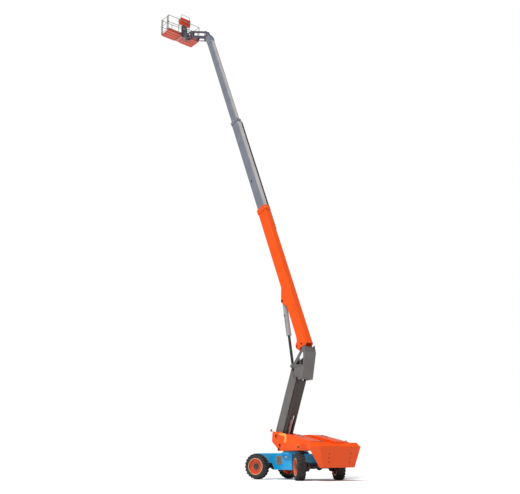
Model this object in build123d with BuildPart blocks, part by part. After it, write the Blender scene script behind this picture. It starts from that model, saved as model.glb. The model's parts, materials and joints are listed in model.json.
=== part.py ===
"""Self-propelled articulated boom lift, platform raised, drawn in millimetres.

X runs forward along the boom, Y to the machine's left and Z up from the floor.
Side views are drawn about the slew axis, which stands at SLEW_X in the part's frame.
"""
from build123d import *
from math import atan2, cos, degrees, hypot, radians, sin
import os

os.makedirs("parts", exist_ok=True)

# Fits
GAP = 5  # running clearance between moving pieces
SEAT = 0.3  # clearance of a seat, slide pad or pin

# Undercarriage
WHEELBASE = 3144
TRACK = 2190
KINGPIN_OFFSET = 265  # kingpin axis to wheel centre
STEER_FRONT = 22.3  # wheels as they stand, positive turns the front of a wheel to the left
STEER_REAR = -28.6
TYRE_R = 575
TYRE_W = 400
TYRE_SHOULDER = 60
LUG_H = 32
LUGS = 16
RIM_R = 345
RIM_WALL = 9
HUB_R = 120
AXLE_TUBE_R = 80
YOKE_H = 150
YOKE_T = 45
STEER_CYL_X = 215  # steering cylinder, inward of the axle
STEER_CYL_R = 38
FRAME_HALF_W = 500
FRAME_REAR_HALF_W = 300
FRAME_FRONT_X = 2330
FRAME_REAR_X = -1990
FRAME_STEP_X = -330
FRAME_BOTTOM = 430
FRAME_ARCH_Z = 735
FRAME_TOP = 1170
FRAME_WALL = 14
FRAME_FILLET = 28
VENT_SPOT = (560, 860)  # vented cover in each side of the frame
VENT_SIZE = 400
VENT_PAD = 10
PEDESTAL_R = 640
RING_R = 560
RING_BORE = 430
RING_H = 62
RING_TEETH = 48

# Turntable
DECK_T = 30
DECK_HALF_W = 1120
DECK_REAR_X = -2300
NOSE_HALF_W = 330
PLATE_T = 30
NOSE_FILLET = 60
NOSE_TOP = 2130
HOOD_HALF_W = 1150
HOOD_INNER_Y = 345
HOOD_FRONT_X = -110
HOOD_CORNER = 600
HOOD_FRONT_Z = 1975
HOOD_REAR_Z = 1640
SHEET = 6
DOOR_FRONT_X = -860
DOOR_REAR_X = -2130
DOOR_T = 22
DOOR_FRONT_TOP, DOOR_REAR_TOP = 1850, 1570
DOOR_HINGE_R = 11
LOUVRES = 6
LOUVRE_L, LOUVRE_H, LOUVRE_PITCH = 420, 16, 34
LOUVRE_FIELD = (-1840, 1430)  # middle of the vents in a door, in side view
LATCH_SPOT = (-1490, 1300)
RECESS_D = 8
CW_REAR_X = -2950
CW_BOTTOM = 547
CW_EDGE_Z = 1420
CW_TOP = 1600
CW_HALF_W = 1220
CW_FOOT_HALF_W = 970
CW_SLOT_HALF_W = 360  # the folded riser lies over a slot in the top
CW_SLOT_D = 60
SWING_R = 2560  # clears the tyres when the turntable swings

# Riser, a parallelogram of two links
RISER_LEAN = 22.5  # backwards from upright
RISER_L = 3225
RISER_FOOT = (970, 1950)  # front link's lower pivot
LINK_STEP = (-270, -420)  # from the front link's pivots to the rear link's
FRONT_LINK_D = 500
FRONT_LINK_HALF_W = 220
REAR_LINK_D = 140
REAR_RAIL_T = 62
REAR_PLATE_S = 1450  # the rear link is plated over from here up, clear of the cylinder's barrel
RISER_PIN_R = 45
FORK_S = 2200  # the front link is forked from here up
FORK_T = 75
RISER_CYL_FOOT = (780, 1340)
RISER_CYL_S = 1900
RISER_CYL_N = 335
RISER_BARREL_R = 95
RISER_ROD_R = 55
EYE_HALF_W = 60  # rod eye of the riser cylinder

# Main boom
BOOM_ANGLE = 67.3
BOOM_STEP = (-516, 920)  # from the riser's head to the boom's pivot
BOOM_RISE = 134  # pivot to the boom's centreline
BASE_W, BASE_D, BASE_WALL = 370, 580, 10
BASE_UNDER = BOOM_RISE - BASE_D / 2
MID_W, MID_D, MID_WALL = 320, 500, 9
TIP_W, TIP_D, TIP_WALL = 270, 420, 8
BASE_START = 110
BASE_END = 8400
MID_START, MID_END = 6750, 14850
TIP_START, TIP_END = 13600, 22300
TIP_CHEEK_L = 700  # head plates, clear of the mid section when drawn in
COLLAR_L = 260
COLLAR_T = 30
PAD_L = 180
LIFT_STEP = (364, 200)  # from the riser's head to the lift cylinder's foot
LIFT_S = 2890
LIFT_N = 360
LIFT_BARREL_R = 118
LIFT_ROD_R = 66
LIFT_PIN_R = 48
LIFT_EYE_HALF_W = 124
BOOM_PIN_R = 60
FOOT_STOP = (280, -250)  # boss low on the boom's foot
UPRIGHT_HALF_W = 330
UPRIGHT_T = 25
FLANGE_H = 14  # ribs that stand out from the upright's plates
FOOT_T = 30  # cheek plates of the boom's foot
FOOT_BOSS = 22
PIVOT_LUG_Y = BASE_W / 2 - GAP  # outer face of the upright's lugs, between the boom's cheeks
PIVOT_LUG_T = 30

# Jib and platform
TIP_PIN_S = 22360
TIP_PIN_R = 40
JIB_ANGLE = 27
JIB_L = 1800
JIB_FOOT = (300, 60)  # lower arm's pivot from the boom's end pin
JIB_STEP = (-40, 340)  # from the lower arm's pivots to the upper arm's
JIB_ARM_D = 150
JIB_ARM_W = 160
JIB_PIN_R = 28
JIB_CYL_PIN_R = 24
JIB_EYE_HALF_W = 48
JIB_CYL_STEP = (0, -260)  # from the lower arm's pivot to the cylinder's foot
JIB_CYL_S = 1000
JIB_CYL_N = 240
ROTATOR_STEP = 661  # from the head's lower pin to the platform's turning axis
ROTATOR_R = 120
BASKET_STEP = 380  # from the turning axis to the platform
BASKET_D = 904
BASKET_W = 2449
FLOOR_STEP = 573  # the floor above the head's lower pin
RAIL_H = 1127
RAIL_R = 19
TOE_H = 150
CONSOLE_Y = -130
CONSOLE_HALF_W = 400
HOOP_YS = (-420, 250)  # the hoop round the console
HOOP_H = 430  # above the top rail
HOOP_R = 15
HOOP_BEND = 90
MAST_HALF_W = 230
GATE_W = 640
GATE_OFF = 60
GATE_PIVOT = 55  # gate post to the post that carries it


def along(foot, angle, s, n=0):
    """Side-view point at s along a leaning member and n towards its upper side."""
    lean = radians(angle)
    return (foot[0] + s * cos(lean) - n * sin(lean), foot[1] + s * sin(lean) + n * cos(lean))


def span(start, end):
    """Length and angle of the line between two side-view points."""
    dx, dz = end[0] - start[0], end[1] - start[1]
    return hypot(dx, dz), degrees(atan2(dz, dx))


# Points of the side view that several pieces share
RISER_ANGLE = 90 + RISER_LEAN
REAR_FOOT = (RISER_FOOT[0] + LINK_STEP[0], RISER_FOOT[1] + LINK_STEP[1])
RISER_HEAD = along(RISER_FOOT, RISER_ANGLE, RISER_L)
REAR_HEAD = along(REAR_FOOT, RISER_ANGLE, RISER_L)
RISER_CYL_EYE = along(RISER_FOOT, RISER_ANGLE, RISER_CYL_S, RISER_CYL_N)
BOOM_PIVOT = (RISER_HEAD[0] + BOOM_STEP[0], RISER_HEAD[1] + BOOM_STEP[1])
LIFT_FOOT = (RISER_HEAD[0] + LIFT_STEP[0], RISER_HEAD[1] + LIFT_STEP[1])
LIFT_EYE = along(BOOM_PIVOT, BOOM_ANGLE, LIFT_S, -LIFT_N)
TIP_PIN = along(BOOM_PIVOT, BOOM_ANGLE, TIP_PIN_S, BOOM_RISE)
JIB_LOW = (TIP_PIN[0] + JIB_FOOT[0], TIP_PIN[1] + JIB_FOOT[1])
JIB_HIGH = (JIB_LOW[0] + JIB_STEP[0], JIB_LOW[1] + JIB_STEP[1])
JIB_CYL_FOOT = (JIB_LOW[0] + JIB_CYL_STEP[0], JIB_LOW[1] + JIB_CYL_STEP[1])
JIB_EYE = along(JIB_LOW, JIB_ANGLE, JIB_CYL_S, -JIB_CYL_N)
HEAD_LOW = along(JIB_LOW, JIB_ANGLE, JIB_L)
HEAD_HIGH = along(JIB_HIGH, JIB_ANGLE, JIB_L)
ROTATOR_X = HEAD_LOW[0] + ROTATOR_STEP
ROTATOR_TOP = HEAD_HIGH[1] + 60
BASKET_REAR_X = ROTATOR_X + BASKET_STEP
FLOOR_Z = HEAD_LOW[1] + FLOOR_STEP
DECK_Z = FRAME_TOP + 30 + RING_H
DECK_TOP = DECK_Z + DECK_T
SLEW_X = -(BASKET_REAR_X + BASKET_D + CW_REAR_X) / 2


def side(y=0):
    """Side view at a height across the machine; local x forward, local y up."""
    return Plane(origin=(SLEW_X, y, 0), x_dir=(1, 0, 0), z_dir=(0, -1, 0))


def deck(z):
    """Plan view at a height, about the slew axis."""
    return Plane(origin=(SLEW_X, 0, z))


def cross(x):
    """View along the machine; local x to the left, local y up."""
    return Plane(origin=(SLEW_X + x, 0, 0), x_dir=(0, 1, 0), z_dir=(1, 0, 0))


def leaning(foot, angle, y=0):
    """Side view of a leaning member; local x runs along it from its foot."""
    lean = radians(angle)
    return Plane(origin=(SLEW_X + foot[0], y, foot[1]), x_dir=(cos(lean), 0, sin(lean)), z_dir=(0, -1, 0))


def section(foot, angle, s):
    """Section square to a leaning member at s along it; local x to the left, local y to its upper side."""
    lean = radians(angle)
    origin = (SLEW_X + foot[0] + s * cos(lean), 0, foot[1] + s * sin(lean))
    return Plane(origin=origin, x_dir=(0, 1, 0), z_dir=(cos(lean), 0, sin(lean)))


def bar(point, radius, half, y=0, mode=Mode.ADD):
    """Round bar across the machine through a side-view point."""
    with Locations(Location((SLEW_X + point[0], y, point[1]), (90, 0, 0))):
        Cylinder(radius, 2 * half, mode=mode)


def at_head(y=0):
    """Side view about the riser's head, which carries the upright."""
    return Plane(origin=(SLEW_X + RISER_HEAD[0], y, RISER_HEAD[1]), x_dir=(1, 0, 0), z_dir=(0, -1, 0))


def finish(name, builder):
    """Name a finished piece and write it."""
    builder.part.label = name
    export_step(builder.part, "parts/" + name + ".step")



# pieces

CORNERS = (
    ("front_left", 1, 1, STEER_FRONT),
    ("front_right", 1, -1, STEER_FRONT),
    ("rear_left", -1, 1, STEER_REAR),
    ("rear_right", -1, -1, STEER_REAR),
)
KINGPIN_Y = TRACK / 2 - KINGPIN_OFFSET


def is_frame_shoulder(edge):
    """Whether an edge bounds a side of the deep box along its top or its front."""
    ends = (edge @ 0, edge @ 1)
    on_side = all(abs(point.Y) > FRAME_HALF_W - 1 for point in ends) and ends[0].Y * ends[1].Y > 0
    on_top = all(point.Z > FRAME_TOP - 71 for point in ends)
    on_front = all(point.X > SLEW_X + FRAME_FRONT_X - 1 for point in ends)
    return on_side and (on_top or on_front)


# Chassis: a deep welded box ahead of the slew ring and a narrower one behind it, vented at the sides
with BuildPart() as chassis:
    with BuildSketch(side()):
        Polygon((FRAME_STEP_X, FRAME_BOTTOM), (900, FRAME_BOTTOM), (1120, FRAME_ARCH_Z),
                (2060, FRAME_ARCH_Z), (2180, 560), (FRAME_FRONT_X, 560), (FRAME_FRONT_X, FRAME_TOP - 70),
                (FRAME_FRONT_X - 80, FRAME_TOP), (FRAME_STEP_X, FRAME_TOP), align=None)
    extrude(amount=FRAME_HALF_W, both=True)
    fillet(chassis.edges().filter_by(is_frame_shoulder), FRAME_FILLET)
    with BuildSketch(side()):
        Polygon((FRAME_STEP_X + 40, 470), (-980, 470), (-1160, FRAME_ARCH_Z),
                (FRAME_REAR_X, FRAME_ARCH_Z), (FRAME_REAR_X, FRAME_TOP - 40),
                (FRAME_STEP_X + 40, FRAME_TOP - 40), align=None)
    extrude(amount=FRAME_REAR_HALF_W, both=True)
    with BuildSketch(deck(FRAME_TOP - 60)):
        Circle(PEDESTAL_R)
        Circle(RING_BORE - 40, mode=Mode.SUBTRACT)
    extrude(amount=90)
    with BuildSketch(deck(FRAME_BOTTOM)):
        with Locations((260, 0), (-640, 0)):
            Circle(120)
    extrude(amount=60, mode=Mode.SUBTRACT)
    with BuildSketch(side()):
        Polygon((FRAME_STEP_X + FRAME_WALL, FRAME_BOTTOM + FRAME_WALL), (893, FRAME_BOTTOM + FRAME_WALL),
                (1113, FRAME_ARCH_Z + FRAME_WALL),
                (FRAME_FRONT_X - FRAME_WALL, FRAME_ARCH_Z + FRAME_WALL),
                (FRAME_FRONT_X - FRAME_WALL, FRAME_TOP - 80), (FRAME_STEP_X + FRAME_WALL, FRAME_TOP - 80),
                align=None)
    extrude(amount=FRAME_HALF_W - FRAME_WALL, both=True, mode=Mode.SUBTRACT)
    with BuildSketch(side()):
        Polygon((FRAME_STEP_X - 1, 470 + FRAME_WALL), (-973, 470 + FRAME_WALL),
                (-1153, FRAME_ARCH_Z + FRAME_WALL),
                (FRAME_REAR_X + FRAME_WALL, FRAME_ARCH_Z + FRAME_WALL),
                (FRAME_REAR_X + FRAME_WALL, FRAME_TOP - 80), (FRAME_STEP_X - 1, FRAME_TOP - 80),
                align=None)
    extrude(amount=FRAME_REAR_HALF_W - FRAME_WALL, both=True, mode=Mode.SUBTRACT)
    for hand in (1, -1):
        with BuildSketch(side(hand * FRAME_HALF_W)):
            with Locations(VENT_SPOT):
                RectangleRounded(VENT_SIZE, VENT_SIZE, VENT_SIZE / 3)
        extrude(amount=-hand * VENT_PAD)
        with BuildSketch(side(hand * FRAME_HALF_W)):
            with Locations(VENT_SPOT):
                with GridLocations(1, VENT_SIZE / 7, 1, 5):
                    SlotOverall(VENT_SIZE * 0.66, 22)
        extrude(amount=FRAME_WALL + VENT_PAD + 1, both=True, mode=Mode.SUBTRACT)
finish("chassis_frame", chassis)

# Axles: differential bowl, tubes, steering cylinder and a yoke over each kingpin
YOKE_PROFILE = (
    # outward of the kingpin, above the axle
    (-240, -70),
    (-150, -YOKE_H - YOKE_T),
    (5, -YOKE_H - YOKE_T),
    (5, -YOKE_H),
    (-95, -YOKE_H),
    (-95, YOKE_H),
    (5, YOKE_H),
    (5, YOKE_H + YOKE_T),
    (-150, YOKE_H + YOKE_T),
    (-240, 70),
)
for name, end in (("front_axle", 1), ("rear_axle", -1)):
    axle_x = end * WHEELBASE / 2
    with BuildPart() as axle:
        with BuildSketch(side()):
            with Locations((axle_x, TYRE_R)):
                Circle(AXLE_TUBE_R)
        extrude(amount=KINGPIN_Y - 150, both=True)
        with Locations((SLEW_X + axle_x, 0, TYRE_R)):
            Sphere(155)
        with BuildSketch(side()):
            with Locations((axle_x, (TYRE_R + FRAME_ARCH_Z) / 2)):
                Rectangle(260, FRAME_ARCH_Z - TYRE_R)
        extrude(amount=260, both=True)
        for hand in (1, -1):
            with BuildSketch(cross(axle_x)):
                Polygon([(hand * (KINGPIN_Y + y), TYRE_R + z) for y, z in YOKE_PROFILE], align=None)
            extrude(amount=65, both=True)
            for z in (TYRE_R - YOKE_H - YOKE_T, TYRE_R + YOKE_H):
                with BuildSketch(deck(z)):
                    with Locations((axle_x, hand * KINGPIN_Y)):
                        Circle(65)
                extrude(amount=YOKE_T)
        with BuildSketch(side()):
            with Locations((axle_x - end * STEER_CYL_X, TYRE_R - 40)):
                Circle(STEER_CYL_R)
        extrude(amount=170, both=True)
        with BuildSketch(side()):
            with Locations((axle_x - end * STEER_CYL_X, TYRE_R - 40)):
                Circle(STEER_CYL_R / 2)
        extrude(amount=330, both=True)
        for y in (-110, 110):
            with BuildSketch(side(y)):
                with Locations((axle_x - end * STEER_CYL_X / 2, TYRE_R - 20)):
                    Rectangle(STEER_CYL_X, 70)
            extrude(amount=15, both=True)
    finish(name, axle)


def spindle(end, hand, steer):
    """Frame of one wheel: origin at the wheel's centre, local x outward along the spindle, local y up."""
    turn = radians(steer)
    out = (-sin(turn) * hand, cos(turn) * hand, 0)
    kingpin_x = SLEW_X + end * WHEELBASE / 2
    centre = (kingpin_x + KINGPIN_OFFSET * out[0], hand * KINGPIN_Y + KINGPIN_OFFSET * out[1], TYRE_R)
    return Plane(origin=centre, x_dir=out, z_dir=Vector(out).cross(Vector(0, 0, 1)))


def axle_line(frame):
    """The spindle's axis."""
    return Axis(frame.origin, frame.x_dir)


LUG_SWEEP = 98  # how far a lug's outer end trails its root
LUG_TOP = (TYRE_R**2 - LUG_SWEEP**2) ** 0.5
LUG_LEAN = degrees(atan2(LUG_SWEEP, LUG_TOP))
HUB_FACE = 60  # hub flange, outward of the wheel's centre
for name, end, hand, steer in CORNERS:
    frame = spindle(end, hand, steer)
    reach = -240 * end * hand
    # Knuckle: kingpin barrel, hub reaching into the rim, steering arm
    with BuildPart() as knuckle:
        with BuildSketch(deck(TYRE_R - YOKE_H + SEAT)):
            with Locations((end * WHEELBASE / 2, hand * KINGPIN_Y)):
                Circle(62)
        extrude(amount=2 * (YOKE_H - SEAT))
        with BuildSketch(frame):
            Polygon((-KINGPIN_OFFSET, 0), (-KINGPIN_OFFSET, 55), (-185, 95), (-150, 165), (-40, 165),
                    (-20, HUB_R), (HUB_FACE, HUB_R), (HUB_FACE, 0), align=None)
        revolve(axis=axle_line(frame))
        with BuildSketch(Plane(frame.origin, x_dir=frame.x_dir, z_dir=(0, 0, 1)).offset(-100)):
            Polygon((-KINGPIN_OFFSET + 50, 0), (-KINGPIN_OFFSET + 35, reach),
                    (-KINGPIN_OFFSET - 25, reach), (-KINGPIN_OFFSET - 25, 0), align=None)
        extrude(amount=35)
    finish("knuckle_" + name, knuckle)

    # Rim: barrel with bead flanges and a dished disc on the outer side
    with BuildPart() as rim:
        with BuildSketch(frame):
            Polygon((-175, RIM_R + 22), (-175, RIM_R - RIM_WALL), (90, RIM_R - 30),
                    (HUB_FACE + SEAT, 210), (HUB_FACE + SEAT, 40), (HUB_FACE + 22, 40),
                    (HUB_FACE + 22, 205), (112, RIM_R - 22), (175, RIM_R - RIM_WALL), (175, RIM_R + 22),
                    (163, RIM_R + 22), (160, RIM_R), (-160, RIM_R), (-163, RIM_R + 22), align=None)
        revolve(axis=axle_line(frame))
        with BuildSketch(frame):
            Polygon((HUB_FACE + 22, 0), (HUB_FACE + 22, 105), (110, 95), (128, 60), (128, 0), align=None)
        revolve(axis=axle_line(frame))
        with Locations(Plane(frame.origin, x_dir=(0, 0, 1), z_dir=frame.x_dir).offset(HUB_FACE + 22)):
            with PolarLocations(160, 10):
                Cylinder(15, 26, align=(Align.CENTER, Align.CENTER, Align.MIN))
    finish("rim_" + name, rim)

    # Tyre: carcass and two rows of slanting lugs
    with BuildPart() as tyre:
        with BuildSketch(frame):
            Polygon((-160 + SEAT, RIM_R + SEAT), (-160 + SEAT, RIM_R + 24),
                    (-TYRE_W / 2 + 10, RIM_R + 45), (-TYRE_W / 2 + 10, TYRE_R - 110),
                    (-TYRE_W / 2 + TYRE_SHOULDER, TYRE_R - LUG_H),
                    (TYRE_W / 2 - TYRE_SHOULDER, TYRE_R - LUG_H), (TYRE_W / 2 - 10, TYRE_R - 110),
                    (TYRE_W / 2 - 10, RIM_R + 45), (160 - SEAT, RIM_R + 24), (160 - SEAT, RIM_R + SEAT),
                    align=None)
        revolve(axis=axle_line(frame))
        for row in (1, -1):
            for step in range(LUGS):
                turn = 180 + LUG_LEAN + 360 * (step + (0 if row > 0 else 0.5)) / LUGS
                out = Vector(0, 0, 1).rotate(Axis((0, 0, 0), frame.x_dir), turn)
                with BuildSketch(Plane(frame.origin, x_dir=frame.x_dir, z_dir=out).offset(LUG_TOP - LUG_H)):
                    Polygon((0, -26), (0, 26), (row * 70, 52), (row * TYRE_W / 2, LUG_SWEEP),
                            (row * TYRE_W / 2, LUG_SWEEP - 56), (row * 78, 2), align=None)
                extrude(amount=LUG_H)
    finish("tyre_" + name, tyre)

# Slew ring: toothed outer race on the chassis
with BuildPart() as slew_ring:
    with BuildSketch(deck(FRAME_TOP + 30)):
        Circle(RING_R)
        Circle(RING_BORE, mode=Mode.SUBTRACT)
    extrude(amount=RING_H - SEAT)
    with BuildSketch(deck(FRAME_TOP + 30)):
        with PolarLocations(RING_R, RING_TEETH):
            Trapezoid(34, 24, 65, rotation=-90)
    extrude(amount=RING_H - 22)
finish("slew_ring", slew_ring)

# Tie-down lugs at the chassis corners
TIE_BORE = 60
TIE_T = 30
with BuildPart() as tie_downs:
    for x, z in ((FRAME_FRONT_X, 640), (FRAME_REAR_X - 120, 800)):
        for y in (-190, 190):
            with BuildSketch(side(y)):
                with Locations((x + 60, z)):
                    Rectangle(120, 150)
                with Locations((x + 60, z)):
                    Circle(TIE_BORE / 2, mode=Mode.SUBTRACT)
            extrude(amount=TIE_T / 2, both=True)
finish("tie_down_lugs", tie_downs)

# Turntable frame: deck plate, two long plates and the nose that carries the riser
with BuildPart() as turntable:
    with BuildSketch(deck(DECK_Z)):
        Polygon((DECK_REAR_X, -DECK_HALF_W), (DECK_REAR_X, DECK_HALF_W),
                (HOOD_FRONT_X - HOOD_CORNER, DECK_HALF_W), (HOOD_FRONT_X, DECK_HALF_W - HOOD_CORNER),
                (760, NOSE_HALF_W), (760, -NOSE_HALF_W), (HOOD_FRONT_X, -DECK_HALF_W + HOOD_CORNER),
                (HOOD_FRONT_X - HOOD_CORNER, -DECK_HALF_W), align=None)
    extrude(amount=DECK_T)
    with BuildSketch(deck(DECK_Z)):
        with Locations((RISER_CYL_FOOT[0] - 100, 0)):
            Rectangle(600, 2 * (RISER_BARREL_R + 25))
    extrude(amount=DECK_T, mode=Mode.SUBTRACT)
    for hand in (1, -1):
        with BuildSketch(side(hand * (NOSE_HALF_W - PLATE_T / 2))):
            Polygon((DECK_REAR_X, DECK_TOP), (780, DECK_TOP), (820, 1330), (1290, 1690), (1250, NOSE_TOP),
                    (640, NOSE_TOP), (-350, 1700), (DECK_REAR_X, 1540), align=None)
            fillet(vertices().sort_by(Axis.X)[-3:], NOSE_FILLET)
        extrude(amount=PLATE_T / 2, both=True)
    with BuildSketch(side()):
        Polygon((1262, 1760), (1278, 1760), (1252, 2040), (1236, 2040), align=None)
    extrude(amount=NOSE_HALF_W - 2, both=True)
    with BuildSketch(cross(-700)):
        with Locations((0, DECK_TOP + 80)):
            Rectangle(2 * NOSE_HALF_W - 2, 160)
    extrude(amount=16)
    for point in (RISER_FOOT, REAR_FOOT, RISER_CYL_FOOT):
        for hand in (1, -1):
            bar(point, RISER_PIN_R + 35, 12, y=hand * (NOSE_HALF_W + 12))
    for hand in (1, -1):
        bar(REAR_FOOT, RISER_PIN_R, 42, y=hand * (NOSE_HALF_W - PLATE_T - 40))
    bar(RISER_FOOT, RISER_PIN_R, NOSE_HALF_W)
    bar(RISER_CYL_FOOT, RISER_PIN_R, NOSE_HALF_W)
finish("turntable_frame", turntable)

# Counterweight: wedge casting behind the deck, hollowed by the tyres' sweep
CW_FILLET = 35
CW_BOLTS = ((640, 1130), (625, 950), (610, 770))
CW_BOLT_R, CW_BOLT_D = 34, 40


def is_rear_edge(edge):
    """Whether an edge bounds the counterweight's rear face, apart from the slot for the riser."""
    ends = (edge @ 0, edge @ 1)
    return all(abs(point.X - SLEW_X - CW_REAR_X) < 1 for point in ends)


with BuildPart() as counterweight:
    with BuildSketch(cross(CW_REAR_X)):
        Polygon((-CW_FOOT_HALF_W, CW_BOTTOM), (CW_FOOT_HALF_W, CW_BOTTOM), (CW_HALF_W, CW_EDGE_Z),
                (CW_HALF_W - 50, CW_TOP), (-CW_HALF_W + 50, CW_TOP), (-CW_HALF_W, CW_EDGE_Z), align=None)
    extrude(amount=DECK_REAR_X - CW_REAR_X)
    with BuildSketch(side()):
        Polygon((CW_REAR_X + 160, CW_BOTTOM), (CW_REAR_X + 330, CW_BOTTOM), (DECK_REAR_X, 1240),
                (DECK_REAR_X, CW_TOP), (CW_REAR_X + 190, CW_TOP), (CW_REAR_X, CW_EDGE_Z), align=None)
    extrude(amount=CW_HALF_W, both=True, mode=Mode.INTERSECT)
    with BuildSketch(deck(0)):
        Circle(SWING_R)
    extrude(amount=DECK_Z - 10, mode=Mode.SUBTRACT)
    with BuildSketch(cross(CW_REAR_X)):
        with Locations((0, CW_TOP)):
            Rectangle(2 * CW_SLOT_HALF_W, 2 * CW_SLOT_D)
    extrude(amount=DECK_REAR_X - CW_REAR_X, mode=Mode.SUBTRACT)
    fillet(counterweight.edges().filter_by(is_rear_edge), CW_FILLET)
    with BuildSketch(cross(CW_REAR_X)):
        for y, z in CW_BOLTS:
            with Locations((y, z), (-y, z)):
                Circle(CW_BOLT_R)
    extrude(amount=CW_BOLT_D, mode=Mode.SUBTRACT)
finish("counterweight", counterweight)

# Hoods: sheet-metal housings, open at the sides for a lift-up door hung on two hinge barrels
DOOR_CORNER = (DOOR_REAR_X, DOOR_REAR_TOP)
door_l, door_angle = span(DOOR_CORNER, (DOOR_FRONT_X, DOOR_FRONT_TOP))
HINGE_L = 220
HINGE_SPOTS = (90, door_l - 90 - HINGE_L)
HOOD_FILLET = 45


def is_outer_top(edge, hand):
    """Whether an edge runs along the outer side of a hood's roof."""
    ends = (edge @ 0, edge @ 1)
    outside = all(hand * point.Y > HOOD_HALF_W - 1 for point in ends)
    return outside and all(point.Z > HOOD_REAR_Z - 1 for point in ends)


for name, hand in (("left", 1), ("right", -1)):
    with BuildPart() as hood:
        with BuildSketch(side(hand * HOOD_INNER_Y)):
            Polygon((DECK_REAR_X, DECK_TOP), (HOOD_FRONT_X, DECK_TOP), (HOOD_FRONT_X, HOOD_FRONT_Z - 40),
                    (HOOD_FRONT_X - 60, HOOD_FRONT_Z), (HOOD_FRONT_X - 560, HOOD_FRONT_Z),
                    (DECK_REAR_X, HOOD_REAR_Z), align=None)
        extrude(amount=-hand * (HOOD_HALF_W - HOOD_INNER_Y))
        with BuildSketch(deck(DECK_TOP)):
            Polygon((HOOD_FRONT_X, hand * (HOOD_HALF_W - HOOD_CORNER)),
                    (HOOD_FRONT_X - HOOD_CORNER, hand * HOOD_HALF_W), (HOOD_FRONT_X, hand * HOOD_HALF_W),
                    align=None)
        extrude(amount=900, mode=Mode.SUBTRACT)
        fillet(hood.edges().filter_by(lambda e: is_outer_top(e, hand)), HOOD_FILLET)
        offset(amount=-SHEET, openings=faces().sort_by(Axis.Z)[0])
        with BuildSketch(side(hand * HOOD_HALF_W)):
            Polygon((DOOR_REAR_X, DECK_TOP + 40), (DOOR_FRONT_X, DECK_TOP + 40),
                    (DOOR_FRONT_X, DOOR_FRONT_TOP), (DOOR_REAR_X, DOOR_REAR_TOP), align=None)
        extrude(amount=30, both=True, mode=Mode.SUBTRACT)
        for s in HINGE_SPOTS:
            with BuildSketch(section(DOOR_CORNER, door_angle, s - SEAT)):
                with Locations((hand * HOOD_HALF_W, 0)):
                    Circle(DOOR_HINGE_R + SEAT)
            extrude(amount=HINGE_L + 2 * SEAT, mode=Mode.SUBTRACT)
    finish("hood_" + name, hood)

    with BuildPart() as door:
        with BuildSketch(side(hand * HOOD_HALF_W)):
            Polygon((DOOR_REAR_X + GAP, DECK_TOP + 40 + GAP), (DOOR_FRONT_X - GAP, DECK_TOP + 40 + GAP),
                    (DOOR_FRONT_X - GAP, DOOR_FRONT_TOP - SEAT - 1.1),
                    (DOOR_REAR_X + GAP, DOOR_REAR_TOP - SEAT + 1), align=None)
        extrude(amount=hand * DOOR_T)
        with BuildSketch(side(hand * (HOOD_HALF_W + DOOR_T))):
            with Locations(LOUVRE_FIELD):
                with GridLocations(1, LOUVRE_PITCH, 1, LOUVRES):
                    SlotOverall(LOUVRE_L, LOUVRE_H)
            with Locations(LATCH_SPOT):
                RectangleRounded(150, 80, 20)
        extrude(amount=-hand * RECESS_D, mode=Mode.SUBTRACT)
        for s in HINGE_SPOTS:
            with BuildSketch(section(DOOR_CORNER, door_angle, s)):
                with Locations((hand * HOOD_HALF_W, 0)):
                    Circle(DOOR_HINGE_R)
            extrude(amount=HINGE_L)
    finish("door_" + name, door)

# Under the left hood: engine; under the right: tanks
with BuildPart() as engine:
    with Locations((SLEW_X - 1350, 760, DECK_TOP + 190)):
        Box(760, 420, 300)
    with Locations((SLEW_X - 1350, 760, DECK_TOP + 20)):
        Box(820, 300, 40)
    with Locations(Location((SLEW_X - 1840, 760, DECK_TOP + 150), (0, 90, 0))):
        Cylinder(125, 220)
finish("engine_block", engine)

with BuildPart() as tank:
    with BuildSketch(side(-760)):
        Polygon((-2050, DECK_TOP), (-1100, DECK_TOP), (-1100, 1700), (-1980, 1560), (-2050, 1500),
                align=None)
        fillet(vertices(), 30)
    extrude(amount=260, both=True)
finish("fluid_tank", tank)

# Beacon on an arm ahead of the nose
BEACON_SPOT = (1350, NOSE_HALF_W - PLATE_T / 2)
BEACON_R = 50
BEACON_Z = 2165
with BuildPart() as beacon:
    with BuildSketch(side(BEACON_SPOT[1])):
        Polygon((1080, NOSE_TOP), (1185, NOSE_TOP), (1300, BEACON_Z - 15), (1400, BEACON_Z - 15),
                (1400, BEACON_Z), (1295, BEACON_Z), (1180, NOSE_TOP + 18), (1080, NOSE_TOP + 18),
                align=None)
    extrude(amount=22, both=True)
    with BuildSketch(deck(BEACON_Z)):
        with Locations(BEACON_SPOT):
            Circle(BEACON_R)
    extrude(amount=35)
    with BuildSketch(deck(BEACON_Z + 35)):
        with Locations(BEACON_SPOT):
            Circle(BEACON_R - 6)
    extrude(amount=75, taper=6)
finish("beacon", beacon)

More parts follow.
